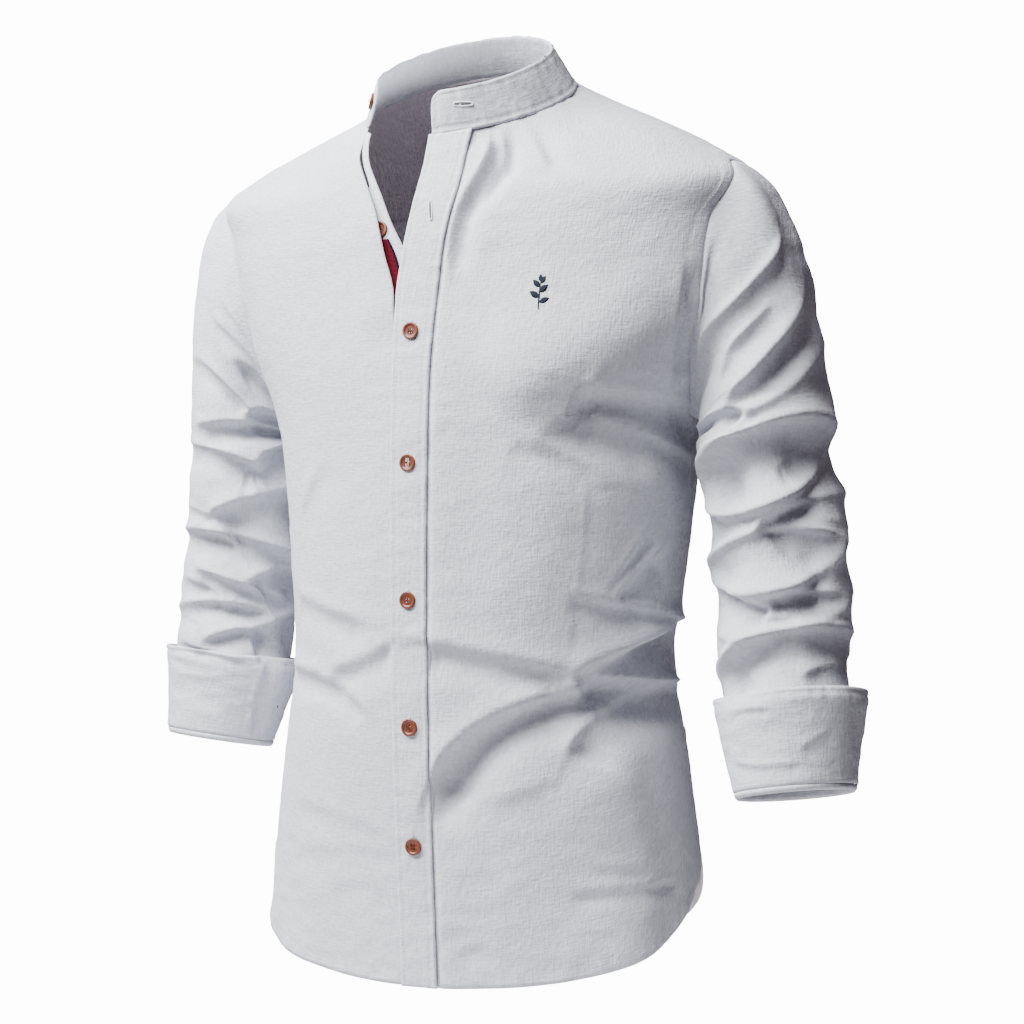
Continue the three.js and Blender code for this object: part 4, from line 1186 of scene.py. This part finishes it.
def sleeve_normal(distance, degrees, side):
    hand = HAND[side]
    end = ARM[side][-1, 0]
    low, high = np.maximum(distance - 1, 0), np.minimum(distance + 1, end)
    down = sleeve_form(high, degrees, side) - sleeve_form(low, degrees, side)
    turn = sleeve_form(distance, degrees + 1, side) - sleeve_form(distance, degrees - 1, side)
    normal = unit(np.cross(turn, down)) * hand
    level, angle = armhole(degrees, side, 0)
    return np.where((np.asarray(distance) < 2)[..., None], body_normal(level, angle), normal)


def sleeve_relief(distance, degrees, side):
    end = SLEEVE_END[side]
    relief = crease_height(SLEEVE_CREASES[side], degrees, distance, SLEEVE_PER_DEGREE, -HAND[side],
                           SLEEVE_VALLEY_SPREAD, SLEEVE_VALLEY_DEPTH)
    outwards = np.cos(np.radians(degrees - SLEEVE_SMOOTH_SIDE[side]))
    relief = relief * (1 - 0.55 * smooth(outwards, 0.35, 1))
    p = sleeve_form(distance, degrees, side)
    relief = relief + 0.9 * noise(p, 46, 71) + 0.7 * noise(p * [1, 1, 1.7], 19, 72) + 0.2 * noise(p, 8, 73)
    return relief * smooth(distance, 0, 26) * (1 - smooth(distance, end - 84, end - 66))


def on_sleeve(distance, degrees, side, lift):
    distance, degrees = np.broadcast_arrays(np.asarray(distance, float), np.asarray(degrees, float))
    point = sleeve_form(distance, degrees, side)
    normal = sleeve_normal(distance, degrees, side)
    relief = sleeve_relief(distance, degrees, side)
    level, angle = armhole(degrees, side, -SEAM_GAP / 2)
    seam = body_relief(level, angle) * (1 - smooth(distance, 0, 30))
    return point + normal * (relief + lift)[..., None] + body_normal(level, angle) * seam[..., None], normal


def add_sleeve(side):
    columns, rows = shirt().sleeve_columns, shirt().sleeve_rows
    end = SLEEVE_END[side]
    degrees = np.linspace(0, 360, columns + 1)[:-1][None, :]
    distance = (np.linspace(0, 1, rows + 1) ** 1.04 * (end - 2.5))[:, None]
    cloth = shirt().cloth / MM
    seam = -0.7 * bell(distance, 1.6) + 0.25 * bell(distance - 5, 4)
    outer, normal = on_sleeve(distance, degrees, side, 0)
    outer = outer + normal * seam[..., None]
    inner = outer - normal * cloth
    form = sleeve_form(distance, degrees, side)
    rings = [
        (end - 1.2, 0.6, end, 0.6),
        (end - 3, 1.4, end - 2.5, 1.4 + cloth),
        (end - TURN_UP, 1.4, end - TURN_UP, 1.4 + cloth),
    ]
    outers, inners = [outer], [inner]
    for d0, l0, d1, l1 in rings:
        outers.append(on_sleeve(np.array([[d0]]), degrees, side, l0)[0])
        inners.append(on_sleeve(np.array([[d1]]), degrees, side, l1)[0])
    level, angle = armhole(degrees, side, TUCK)
    under = body_point(level, angle) + body_normal(level, angle) * (
        body_relief(level, angle) - UNDER_NEIGHBOUR)[..., None]
    outers.insert(0, under)
    inners.insert(0, under - body_normal(level, angle) * cloth)
    outer, inner = np.concatenate(outers), np.concatenate(inners)
    rings_of_form = np.concatenate([under, form, outers[-3], outers[-2], outers[-1]])
    closed = np.concatenate([rings_of_form, rings_of_form[:, :1]], axis=1)
    around, lengthwise = lengths(closed, 1), lengths(closed, 0)
    front = columns // 4
    around = around - around[:, front][:, None]
    uv = np.stack([around, lengthwise - lengthwise[-1]], axis=-1)
    obj = shell(f"sleeve_{side}_cloth", outer, inner, uv, True,
                materials=[get_material("Linen", linen)],
                slot="linen_cloth", nodes=[f"sleeve_{side}"])


def cuff_faces(t, degrees, side):
    """Both faces of the turned-back cuff: t runs from its fold at the bottom to its upper edge."""
    t, degrees = np.broadcast_arrays(np.asarray(t, float), np.asarray(degrees, float))
    up, down = t * CUFF_HEIGHT, (1 - t) * CUFF_HEIGHT
    around = degrees * CUFF_PER_DEGREE
    from_end = np.minimum(degrees - CUFF_FROM, CUFF_TO - degrees) * CUFF_PER_DEGREE
    place = np.stack([around, up, up * 0], axis=-1)
    groove = bell(down - CUFF_STITCH, 1.2) + bell(from_end - EDGE_STITCH, 1.2)
    near_rim = bell(down - 5, 7)
    relief = 0.4 * noise(place * [0.5, 1.5, 1], 9, 81) + 1.1 * noise(place * [0.7, 1.3, 1], 26, 82)
    relief = relief + (0.15 + 0.4 * near_rim) * noise(place * [1.3, 0.5, 1], 7, 83)
    relief = relief + crease_height(CUFF_CREASES[side], degrees, up, CUFF_PER_DEGREE, 1)
    relief = relief - 0.55 * np.clip(groove, 0, 1.3)
    rim = 0.8 * bell(down, 2.4)
    fall = rounded(np.minimum(down, np.minimum(up, from_end)), 1.1)
    seam = SLEEVE_END[side] - TURN_UP - SEAM_GAP
    away = along(CUFF_FLARE, 1, degrees) * t**1.3
    point, normal = on_sleeve(seam - CUFF_HEIGHT * t, degrees, side, 0)
    outer = point + normal * (away + 3.2 + relief + rim - fall)[..., None]
    inner = point + normal * (away + 1.3 + 0.6 * relief - 0.2 * rim + 0.5 * fall)[..., None]
    return outer, inner, normal, np.stack([around, up], axis=-1)


def add_cuff(side):
    degrees = np.linspace(CUFF_FROM, CUFF_TO, 150)[None, :]
    outer, inner, _, uv = cuff_faces(np.linspace(0, 1, 45)[:, None], degrees, side)
    obj = shell(f"cuff_{side}_cloth", outer, inner, uv, False,
                materials=[get_material("Linen", linen)], slot="linen_cloth", nodes=[f"cuff_{side}"])


# Sewing

def add_stitches(name, paths):
    s = shirt()
    points, faces = stitches(paths, s.stitch_pitch / MM, s.stitch_length / MM, s.stitch_width / MM, 0.12)
    new_object(name, points, faces, materials=[get_material("Thread", thread)], slot="linen_cloth")


def body_path(level, angle, lift):
    form, normal = body_place(level, angle)
    height = body_relief(level, angle) + lift
    return form + normal * height[:, None], normal


def add_body_stitches():
    paths = []
    for side in ("left", "right"):
        turn = np.linspace(YOKE_TURN, 180, 160)
        level, angle = armhole(turn, side, ARMHOLE_STITCH)
        form = body_point(level, angle)
        paths.append(body_path(level, angle, armhole_relief(form, level)))
    angle = np.linspace(-76, 12, 200)
    for a in (angle, 180 - angle):
        level = hem_level(a) + HEM_STITCH
        lift = hem_relief(level, a)
        if a[0] < 0:
            lift = lift + left_lift(body_point(level, a), level)
        paths.append(body_path(level, a, lift))
    angle = np.linspace(16, 164, 260)
    level = hem_level(angle) + HEM_STITCH
    paths.append(body_path(level, angle, hem_relief(level, angle)))
    add_stitches("body_stitching", paths)


def add_placket_stitches():
    paths = []
    level = np.linspace(HEM_FRONT + 3, NECK_LEVEL - 8, 400)
    for column, inset in ((PLACKET_LEFT, EDGE_STITCH), (PLACKET_RIGHT, -EDGE_STITCH)):
        angle = angle_at(level, edge_x(level, column) + inset)
        form, normal = body_place(level, angle)
        paths.append((form + normal * placket_lift(level, angle, form)[:, None], normal))
    add_stitches("placket_stitching", paths)


def add_collar_stitches():
    angle = np.linspace(COLLAR_FROM + 4, COLLAR_TO - 4, 600)
    height = collar_form(np.zeros_like(angle), angle)[2]
    paths = []
    for t in (COLLAR_LOW_STITCH / height, 1 - COLLAR_HIGH_STITCH / height):
        outer, _, normal, _ = collar_faces(angle, t)
        paths.append((outer, normal))
    for end in (COLLAR_FROM + 3.6, COLLAR_TO - 3.6):
        outer, _, normal, _ = collar_faces(np.full(60, end), np.linspace(0.12, 0.86, 60))
        paths.append((outer, normal))
    add_stitches("collar_stitching", paths)


def add_cuff_stitches():
    for side in ("left", "right"):
        paths = []
        degrees = np.linspace(CUFF_FROM + 6, CUFF_TO - 6, 400)
        outer, _, normal, _ = cuff_faces(1 - CUFF_STITCH / CUFF_HEIGHT, degrees, side)
        paths.append((outer, normal))
        for end in (CUFF_FROM + 6, CUFF_TO - 6):
            outer, _, normal, _ = cuff_faces(np.linspace(0.03, 0.92, 80), np.full(80, end), side)
            paths.append((outer, normal))
        add_stitches(f"cuff_{side}_stitching", paths)


def add_cuff_threads():
    """Two small knots of button thread that come through the right cuff."""
    turn = np.radians(np.arange(0, 360, 40))
    for k, (share, degrees) in enumerate(((0.46, 176.0), (0.44, 196.0))):
        point, _, normal, _ = cuff_faces(np.array(share), np.array(degrees), "right")
        across = unit(np.cross(normal, np.array([0, 0, 1.0])))
        other = np.cross(normal, across)
        loop = point + 0.45 * (np.cos(turn)[:, None] * across + np.sin(turn)[:, None] * other)
        vertices, faces = ribbon_round(loop, np.broadcast_to(normal, loop.shape), 1.0, 0.8)
        knot = new_object(f"cuff_thread_{k + 1}", vertices, faces,
                          materials=[get_material("Button thread", button_thread)], slot="linen_cloth")
        flip_outward(knot)


def ribbon_round(points, up, width, height, around=8):
    """A closed flattened tube along a closed path."""
    count = len(points)
    tangent = unit(np.roll(points, -1, axis=0) - np.roll(points, 1, axis=0))
    side = unit(np.cross(up, tangent))
    turn = np.radians(np.arange(around) * 360 / around)
    ring = (
        points[:, None]
        + side[:, None] * (np.cos(turn)[None, :, None] * width / 2)
        + up[:, None] * (np.sin(turn)[None, :, None] * height / 2)
    )
    i, j = np.meshgrid(np.arange(count), np.arange(around), indexing="ij")
    i, j = i.ravel(), j.ravel()
    at = lambda a, b: (a % count) * around + b % around
    faces = np.stack([at(i, j), at(i, j + 1), at(i + 1, j + 1), at(i + 1, j)], axis=-1)
    return ring.reshape(-1, 3), faces


def add_buttonhole(name, centre, normal, direction, length, open_by):
    """Satin stitches round a slit, and a dark sheet in the slit between them, which paints the shade inside
    the opening.
    """
    direction = unit(direction - normal * np.dot(direction, normal))
    across = np.cross(normal, direction)
    turn = np.radians(np.arange(0, 360, 4))
    long_way = length / 2 * np.cos(turn)
    lens = (open_by / 2 + 0.55) * np.sign(np.sin(turn)) * np.abs(np.sin(turn)) ** 0.6
    satin = 1 + 0.16 * np.sign(np.sin(np.arange(len(turn)) * 2.4))
    points = centre + long_way[:, None] * direction + lens[:, None] * across + normal * 0.1
    up = np.broadcast_to(normal, points.shape)
    vertices, faces = ribbon_round(points, up, 1.25, 0.9)
    vertices = vertices + np.repeat(normal[None] * (0.12 * satin)[:, None], 8, axis=0)
    obj = new_object(f"{name}_thread", vertices, faces, materials=[get_material("Thread", thread)],
                     slot="linen_cloth")
    flip_outward(obj)
    # Painted shade: a thin dark sheet fills the slit where the opening would be in shadow.
    slit = centre + 0.94 * long_way[:, None] * direction + 0.8 * lens[:, None] * across
    low, high = slit - normal * 0.25, slit + normal * 0.16
    count = len(slit)
    k = np.arange(count)
    m = (k + 1) % count
    vertices = np.concatenate([low, high, [centre - normal * 0.25, centre + normal * 0.16]])
    lower, upper = np.stack([k, m, m + count], axis=-1), np.stack([k, m + count, k + count], axis=-1)
    caps = np.concatenate([
        np.stack([m, k, np.full(count, 2 * count)], axis=-1),
        np.stack([k + count, m + count, np.full(count, 2 * count + 1)], axis=-1),
    ])
    obj = new_object(f"{name}_slit", vertices, np.concatenate([lower, upper, caps]),
                     materials=[get_material("Slit", slit_painted_shade)], slot="linen_cloth")
    flip_outward(obj)


def flip_outward(obj):
    """Turns a closed mesh's faces outward if they point in."""
    mesh = obj.data
    mesh.calc_loop_triangles()
    co = np.empty(len(mesh.vertices) * 3)
    mesh.vertices.foreach_get("co", co)
    co = co.reshape(-1, 3)
    tri = np.empty(len(mesh.loop_triangles) * 3, np.int32)
    mesh.loop_triangles.foreach_get("vertices", tri)
    a, b, c = (co[tri.reshape(-1, 3)[:, k]] for k in range(3))
    middle = co.mean(axis=0)
    if np.einsum("ij,ij->", a - middle, np.cross(b - middle, c - middle)) < 0:
        mesh.flip_normals()


def slit_painted_shade(name):
    # Painted shade: a near-black colour for the shadow inside a buttonhole's slit.
    return plain(name, (0.10, 0.09, 0.11), 0.9)


def placket_top(level, x):
    """A point and normal on the placket's face."""
    level = np.asarray(level, float)
    angle = angle_at(level, x)
    form, normal = body_place(level, angle)
    return form + normal * placket_lift(level, angle, form), normal


def add_buttonholes():
    up = np.array([0, 0, 1.0])
    length = trim().buttonhole / MM
    for k, level in enumerate(BUTTON_LEVELS):
        point, normal = placket_top(level + 1.2, BUTTON_LINE)
        add_buttonhole(f"buttonhole_{k + 1}", point, normal, up, length, 0.8)
    x = float(edge_x(OPEN_BUTTONHOLE_LEVEL, PLACKET_LEFT)) + OPEN_BUTTONHOLE_INSET
    point, normal = placket_top(OPEN_BUTTONHOLE_LEVEL, x)
    lean = np.array([-0.12, 0, 1.0])
    add_buttonhole("buttonhole_open", point, normal, lean, length + 1, 1.8)
    outer, _, normal, _ = collar_faces(
        np.array(COLLAR_FROM + COLLAR_BUTTONHOLE_INSET), np.array(COLLAR_BUTTONHOLE_RISE))
    add_buttonhole("buttonhole_collar", outer, normal, np.array([1.0, 0, 0.02]), length, 2.4)


def add_leaf(base, direction, normal, length, width):
    """Vertices and faces of one raised leaf in satin stitch."""
    across = np.cross(normal, direction)
    rows, columns = 15, 7
    t = np.linspace(0, 1, rows)[:, None]
    q = np.linspace(-1, 1, columns)[None, :]
    half = width / 2 * np.sin(np.pi * np.clip(t, 0.02, 0.985)) ** 0.8 * (1.15 - 0.3 * t)
    stitch = 0.08 * np.where(np.arange(rows) % 2, 1, -1)[:, None]
    lift = 0.55 * np.sqrt(np.clip(1 - q * q, 0, 1)) * np.sin(np.pi * np.clip(t, 0.03, 0.97)) ** 0.5
    lift = lift + stitch * (1 - q * q) - 0.22 * bell(q, 0.16)
    top = (
        base + direction * (t * length)[..., None] * np.ones((1, columns, 1))
        + across * (half * q)[..., None] + normal * (0.1 + lift)[..., None]
    )
    bottom = top - normal * (0.3 + lift)[..., None]
    return top, bottom


def add_sprig():
    """A small embroidered sprig of leaves on the wearer's left chest."""
    angle = float(angle_at(SPRIG_LEVEL, SPRIG_X))
    levels = SPRIG_LEVEL + np.array([0, -8, 8, 0, 0])
    angles = angle + np.array([0, 0, 0, -3, 3])
    cloth = body_point(levels, angles) + body_normal(levels, angles) * body_relief(levels, angles)[:, None]
    centre = cloth[0]
    normal = unit(np.cross(cloth[4] - cloth[3], cloth[2] - cloth[1]))
    up = unit(np.array([0, 0, 1.0]) - normal * normal[2])
    right = np.cross(up, normal)
    scale = trim().sprig_height / MM / 27
    centre = centre + normal * 0.35
    leaves = [
        (0.5, -8, -64, 9, 5), (0.2, -3.5, 58, 9.5, 5.2), (0, 1, -52, 9.5, 5.2),
        (0.6, 5, 44, 8.5, 4.8), (1.2, 8, -34, 7.5, 4.4), (1.8, 9, 8, 7, 4.2),
    ]
    material = get_material("Embroidery", embroidery)
    for k, (x0, y0, turn, length, width) in enumerate(leaves):
        a = math.radians(turn)
        direction = up * math.cos(a) - right * math.sin(a)
        base = centre + (right * x0 + up * y0) * scale
        top, bottom = add_leaf(base, direction, normal, length * scale, width * scale)
        uv = np.zeros(top.shape[:2] + (2,))
        shell(f"sprig_leaf_{k + 1}", top, bottom, uv, False, materials=[material], slot="trim")
    t = np.linspace(0, 1, 24)[:, None]
    stem = centre + (right * (1.6 * t * t - 0.4 * t) + up * (-13.5 + 23 * t)) * scale
    way = unit(np.gradient(stem, axis=0))
    side = np.cross(normal, way)
    q = np.radians(np.linspace(0, 360, 9)[:-1])
    thin = (0.75 * (1.1 - 0.5 * t))[..., None]
    ring = stem[:, None] + (side[:, None] * np.cos(q)[:, None] + normal * 0.6 * np.sin(q)[:, None]) * thin
    inner = stem[:, None] + (ring - stem[:, None]) * 0.3
    uv = np.zeros((24, 9, 2))
    shell("sprig_stem", ring, inner, uv, True, materials=[material], slot="trim")


def embroidery(name):
    """Lustrous dark blue embroidery thread."""
    return plain(name, (0.002, 0.005, 0.014), 0.7, 0.2)


# Buttons

def deselect():
    if bpy.context.mode != "OBJECT":
        bpy.ops.object.mode_set(mode="OBJECT")
    bpy.ops.object.select_all(action="DESELECT")


def activate(obj):
    deselect()
    obj.select_set(True)
    bpy.context.view_layer.objects.active = obj


def button_master():
    """One button lying flat at the origin: a dished face in a raised rim, with four holes."""
    sizes = trim()
    r, t = sizes.button_radius, sizes.button_thick
    deselect()
    bpy.ops.mesh.primitive_cylinder_add(vertices=48, radius=r, depth=t, location=(0, 0, t / 2))
    body = bpy.context.active_object
    bpy.ops.object.mode_set(mode="EDIT")
    bpy.ops.mesh.select_mode(type="FACE")
    bpy.ops.mesh.select_all(action="DESELECT")
    bpy.ops.object.mode_set(mode="OBJECT")
    for polygon in body.data.polygons:
        polygon.select = polygon.normal.z > 0.9
    bpy.ops.object.mode_set(mode="EDIT")
    bpy.ops.mesh.inset(thickness=r * 0.26, depth=0)
    bpy.ops.mesh.inset(thickness=r * 0.10, depth=-t * 0.32)
    bpy.ops.object.mode_set(mode="OBJECT")
    bevel = body.modifiers.new("Soft edges", "BEVEL")
    bevel.width, bevel.segments, bevel.limit_method = t * 0.2, 3, "ANGLE"
    bevel.angle_limit = math.radians(35)
    bpy.ops.object.modifier_apply(modifier=bevel.name)
    for k in range(4):
        a = math.radians(45 + 90 * k)
        spot = (sizes.hole_spread * math.cos(a), sizes.hole_spread * math.sin(a), t / 2)
        deselect()
        bpy.ops.mesh.primitive_cylinder_add(vertices=14, radius=sizes.hole_radius, depth=t * 3, location=spot)
        drill = bpy.context.active_object
        activate(body)
        cut = body.modifiers.new("Hole", "BOOLEAN")
        cut.operation, cut.object, cut.solver = "DIFFERENCE", drill, "EXACT"
        bpy.ops.object.modifier_apply(modifier=cut.name)
        bpy.data.objects.remove(drill)
    activate(body)
    bpy.ops.object.shade_smooth_by_angle(angle=math.radians(40))
    return body


def thread_master():
    """Two crossed bars of thread that lie in the dish of a button and go down its holes."""
    sizes = trim()
    d, t = sizes.hole_spread, sizes.button_thick
    bars = []
    for k in range(4):
        turn = math.radians(45 * (2 * k + 1) if k < 2 else 45 * (2 * k - 3))
        offset = 0.00018 if k < 2 else -0.00018
        deselect()
        bpy.ops.mesh.primitive_cylinder_add(
            vertices=8, radius=0.00026, depth=2 * d, location=(0, offset, t * 0.74 + 0.0002 * (k % 2)),
            rotation=(0, math.pi / 2, 0))
        bar = bpy.context.active_object
        bpy.ops.object.transform_apply(location=True, rotation=True, scale=True)
        bar.data.transform(Matrix.Rotation(turn, 4, "Z"))
        bars.append(bar)
    deselect()
    for bar in bars:
        bar.select_set(True)
    bpy.context.view_layer.objects.active = bars[0]
    bpy.ops.object.join()
    joined = bpy.context.active_object
    bpy.ops.object.shade_smooth_by_angle(angle=math.radians(60))
    return joined


def place_copy(master, name, at, normal, turn, material, node=None):
    """A copy of a flat master with its own mesh, laid on a surface, with its place in its vertices."""
    mesh = master.data.copy()
    rotation = Vector(normal).to_track_quat("Z", "Y").to_matrix().to_4x4()
    move = Matrix.Translation(Vector(at)) @ rotation @ Matrix.Rotation(turn, 4, "Z")
    mesh.transform(move)
    mesh.materials.clear()
    mesh.materials.append(material)
    obj = bpy.data.objects.new(name, mesh)
    bpy.context.scene.collection.objects.link(obj)
    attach(obj, "root")
    if node:
        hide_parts(node)
    return obj


def add_buttons():
    body, cross = button_master(), thread_master()
    brown, dark = get_material("Wood", wood), get_material("Button thread", button_thread)
    spots = []
    for k, level in enumerate(BUTTON_LEVELS):
        point, normal = body_place(level, float(angle_at(level, BUTTON_LINE)))
        spots.append((f"button_{k + 1}", point + normal * BUTTON_LIFT, normal))
    x = float(edge_x(OPEN_BUTTON_LEVEL, FOLD)) - OPEN_BUTTON_IN_FOLD
    point, normal = body_place(OPEN_BUTTON_LEVEL, float(angle_at(OPEN_BUTTON_LEVEL, x)))
    spots.append(("button_band_top", point + normal * OPEN_BUTTON_LIFT, normal))
    point, normal, _ = collar_form(np.array(COLLAR_BUTTON_RISE), np.array(COLLAR_TO - COLLAR_BUTTON_INSET))
    spots.append(("button_collar", point + normal * COLLAR_BUTTON_LIFT, normal))
    for k, (node, point, normal) in enumerate(spots):
        turn = math.radians((7, -11, 4, 15, -6, 20, 3)[k])
        at = np.asarray(point, float) * MM
        place_copy(body, f"{node}_wood", at, normal, turn, brown, node)
        place_copy(cross, f"{node}_thread", at, normal, turn, dark)
    bpy.data.objects.remove(body)
    bpy.data.objects.remove(cross)


def button_thread(name):
    return plain(name, (0.03, 0.009, 0.006), 0.8)


# Stage

def add_light(name, at, aim, size, power, colour, seen=True):
    data = bpy.data.lights.new(name, "AREA")
    data.shape, data.size, data.size_y = "RECTANGLE", size[0], size[1]
    data.energy, data.color = power, colour
    light = bpy.data.objects.new(name, data)
    light.location = at
    light.rotation_euler = (Vector(aim) - Vector(at)).to_track_quat("-Z", "Y").to_euler()
    light.visible_camera = seen
    bpy.context.scene.collection.objects.link(light)


def add_stage():
    stage = bpy.context.scene.stage_sizes
    a = stage.azimuth
    back = Vector((math.sin(a), -math.cos(a), 0))
    side = Vector((math.cos(a), math.sin(a), 0))
    camera = bpy.data.objects.new("Camera", bpy.data.cameras.new("Camera"))
    camera.data.lens, camera.data.sensor_width = stage.lens, 36
    camera.location = back * stage.distance + side * 0.0236 + Vector((0, 0, -0.3467))
    camera.rotation_euler = (-back).to_track_quat("-Z", "Y").to_euler()
    bpy.context.scene.collection.objects.link(camera)
    bpy.context.scene.camera = camera

    deselect()
    bpy.ops.mesh.primitive_circle_add(
        vertices=96, radius=stage.floor_radius, fill_type="NGON", location=(0, 0, stage.floor_level))
    floor = bpy.context.active_object
    floor.name = "Floor"
    floor.data.materials.append(plain("Floor", (0.86, 0.86, 0.88), 0.9))

    world = bpy.data.worlds.new("Studio")
    bpy.context.scene.world = world
    world.use_nodes = True
    sky = Nodes(world.node_tree)
    background = world.node_tree.nodes["Background"]
    seen = sky.add("ShaderNodeLightPath").outputs["Is Camera Ray"]
    sky.put(sky.blend(seen, (1.0, 0.86, 0.97, 1), (1, 1, 1, 1)), background.inputs["Color"])
    strength = sky.math("ADD", sky.math("MULTIPLY", seen, stage.backdrop - stage.fill), stage.fill)
    sky.put(strength, background.inputs["Strength"])

    aim = Vector((0, 0, -0.35))
    up = Vector((0, 0, 1))
    chest = Vector((0, 0, -0.2))
    key = chest + (back * 0.42 - side * 0.47 + up * 0.776) * stage.key_distance
    left = aim + (back * 0.142 - side * 0.807 + up * 0.574) * stage.side_distance
    add_light("Key", key, chest, (1.3, 1.3), stage.key_power, (1, 0.995, 0.99))
    add_light("Side light", left, aim, (0.8, 0.8), stage.side_power, (1, 0.995, 0.99))
    neck = Vector((0, -0.03, 0.008))
    above = neck + Vector((0, -0.413, 0.911))
    add_light("Neck light", neck, above, (0.1, 0.07), stage.neck_power, (1, 1, 1), False)


# Operators

class SHIRT_OT_fronts(bpy.types.Operator):
    """Adds the two fronts of the shirt"""

    bl_idname = "shirt.fronts"
    bl_label = "Fronts"

    def execute(self, context):
        add_front("left")
        add_front("right")
        return {"FINISHED"}


class SHIRT_OT_back(bpy.types.Operator):
    """Adds the back and the yoke"""

    bl_idname = "shirt.back"
    bl_label = "Back and Yoke"

    def execute(self, context):
        add_back()
        add_yoke()
        return {"FINISHED"}


class SHIRT_OT_placket(bpy.types.Operator):
    """Adds the placket, the button band and its ribbon"""

    bl_idname = "shirt.placket"
    bl_label = "Placket and Band"

    def execute(self, context):
        add_placket()
        add_band()
        add_tape()
        return {"FINISHED"}


class SHIRT_OT_collar(bpy.types.Operator):
    """Adds the stand collar"""

    bl_idname = "shirt.collar"
    bl_label = "Collar"

    def execute(self, context):
        add_collar()
        return {"FINISHED"}


class SHIRT_OT_sleeves(bpy.types.Operator):
    """Adds both sleeves"""

    bl_idname = "shirt.sleeves"
    bl_label = "Sleeves"

    def execute(self, context):
        add_sleeve("left")
        add_sleeve("right")
        return {"FINISHED"}


class SHIRT_OT_cuffs(bpy.types.Operator):
    """Adds the turned-back cuffs"""

    bl_idname = "shirt.cuffs"
    bl_label = "Cuffs"

    def execute(self, context):
        add_cuff("left")
        add_cuff("right")
        return {"FINISHED"}


class SHIRT_OT_sewing(bpy.types.Operator):
    """Adds the rows of stitches"""

    bl_idname = "shirt.sewing"
    bl_label = "Sewing"

    def execute(self, context):
        add_body_stitches()
        add_placket_stitches()
        add_collar_stitches()
        add_cuff_stitches()
        add_cuff_threads()
        add_buttonholes()
        return {"FINISHED"}


class SHIRT_OT_sprig(bpy.types.Operator):
    """Adds the embroidered sprig on the chest"""

    bl_idname = "shirt.sprig"
    bl_label = "Sprig"

    def execute(self, context):
        add_sprig()
        return {"FINISHED"}


class SHIRT_OT_buttons(bpy.types.Operator):
    """Adds the buttons and the thread that holds them"""

    bl_idname = "shirt.buttons"
    bl_label = "Buttons"

    def execute(self, context):
        add_buttons()
        return {"FINISHED"}


class SHIRT_OT_stage(bpy.types.Operator):
    """Adds the camera, the floor and the lights"""

    bl_idname = "shirt.stage"
    bl_label = "Stage"

    def execute(self, context):
        add_stage()
        return {"FINISHED"}


class SHIRT_PT_panel(bpy.types.Panel):
    """Lists the pieces of the shirt"""

    bl_idname = "SHIRT_PT_panel"
    bl_label = "Stand Collar Shirt"
    bl_space_type = "VIEW_3D"
    bl_region_type = "UI"
    bl_category = "Shirt"

    def draw(self, context):
        for operator in OPERATORS:
            self.layout.operator(operator.bl_idname)


OPERATORS = (
    SHIRT_OT_fronts,
    SHIRT_OT_back,
    SHIRT_OT_placket,
    SHIRT_OT_collar,
    SHIRT_OT_sleeves,
    SHIRT_OT_cuffs,
    SHIRT_OT_sewing,
    SHIRT_OT_sprig,
    SHIRT_OT_buttons,
    SHIRT_OT_stage,
)
GROUPS = (("shirt_sizes", ShirtSizes), ("trim_sizes", TrimSizes), ("stage_sizes", StageSizes))


def register():
    for name, group in GROUPS:
        bpy.utils.register_class(group)
        setattr(bpy.types.Scene, name, bpy.props.PointerProperty(type=group))
    for operator in OPERATORS:
        bpy.utils.register_class(operator)
    bpy.utils.register_class(SHIRT_PT_panel)


def unregister():
    bpy.utils.unregister_class(SHIRT_PT_panel)
    for operator in reversed(OPERATORS):
        bpy.utils.unregister_class(operator)
    for name, group in reversed(GROUPS):
        delattr(bpy.types.Scene, name)
        bpy.utils.unregister_class(group)


def main():
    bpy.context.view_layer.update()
    register()
    bpy.ops.shirt.fronts()
    bpy.ops.shirt.back()
    bpy.ops.shirt.placket()
    bpy.ops.shirt.collar()
    bpy.ops.shirt.sleeves()
    bpy.ops.shirt.cuffs()
    bpy.ops.shirt.sewing()
    bpy.ops.shirt.sprig()
    bpy.ops.shirt.buttons()
    bpy.ops.shirt.stage()
    bpy.context.view_layer.update()


if __name__ == "__main__":
    main()
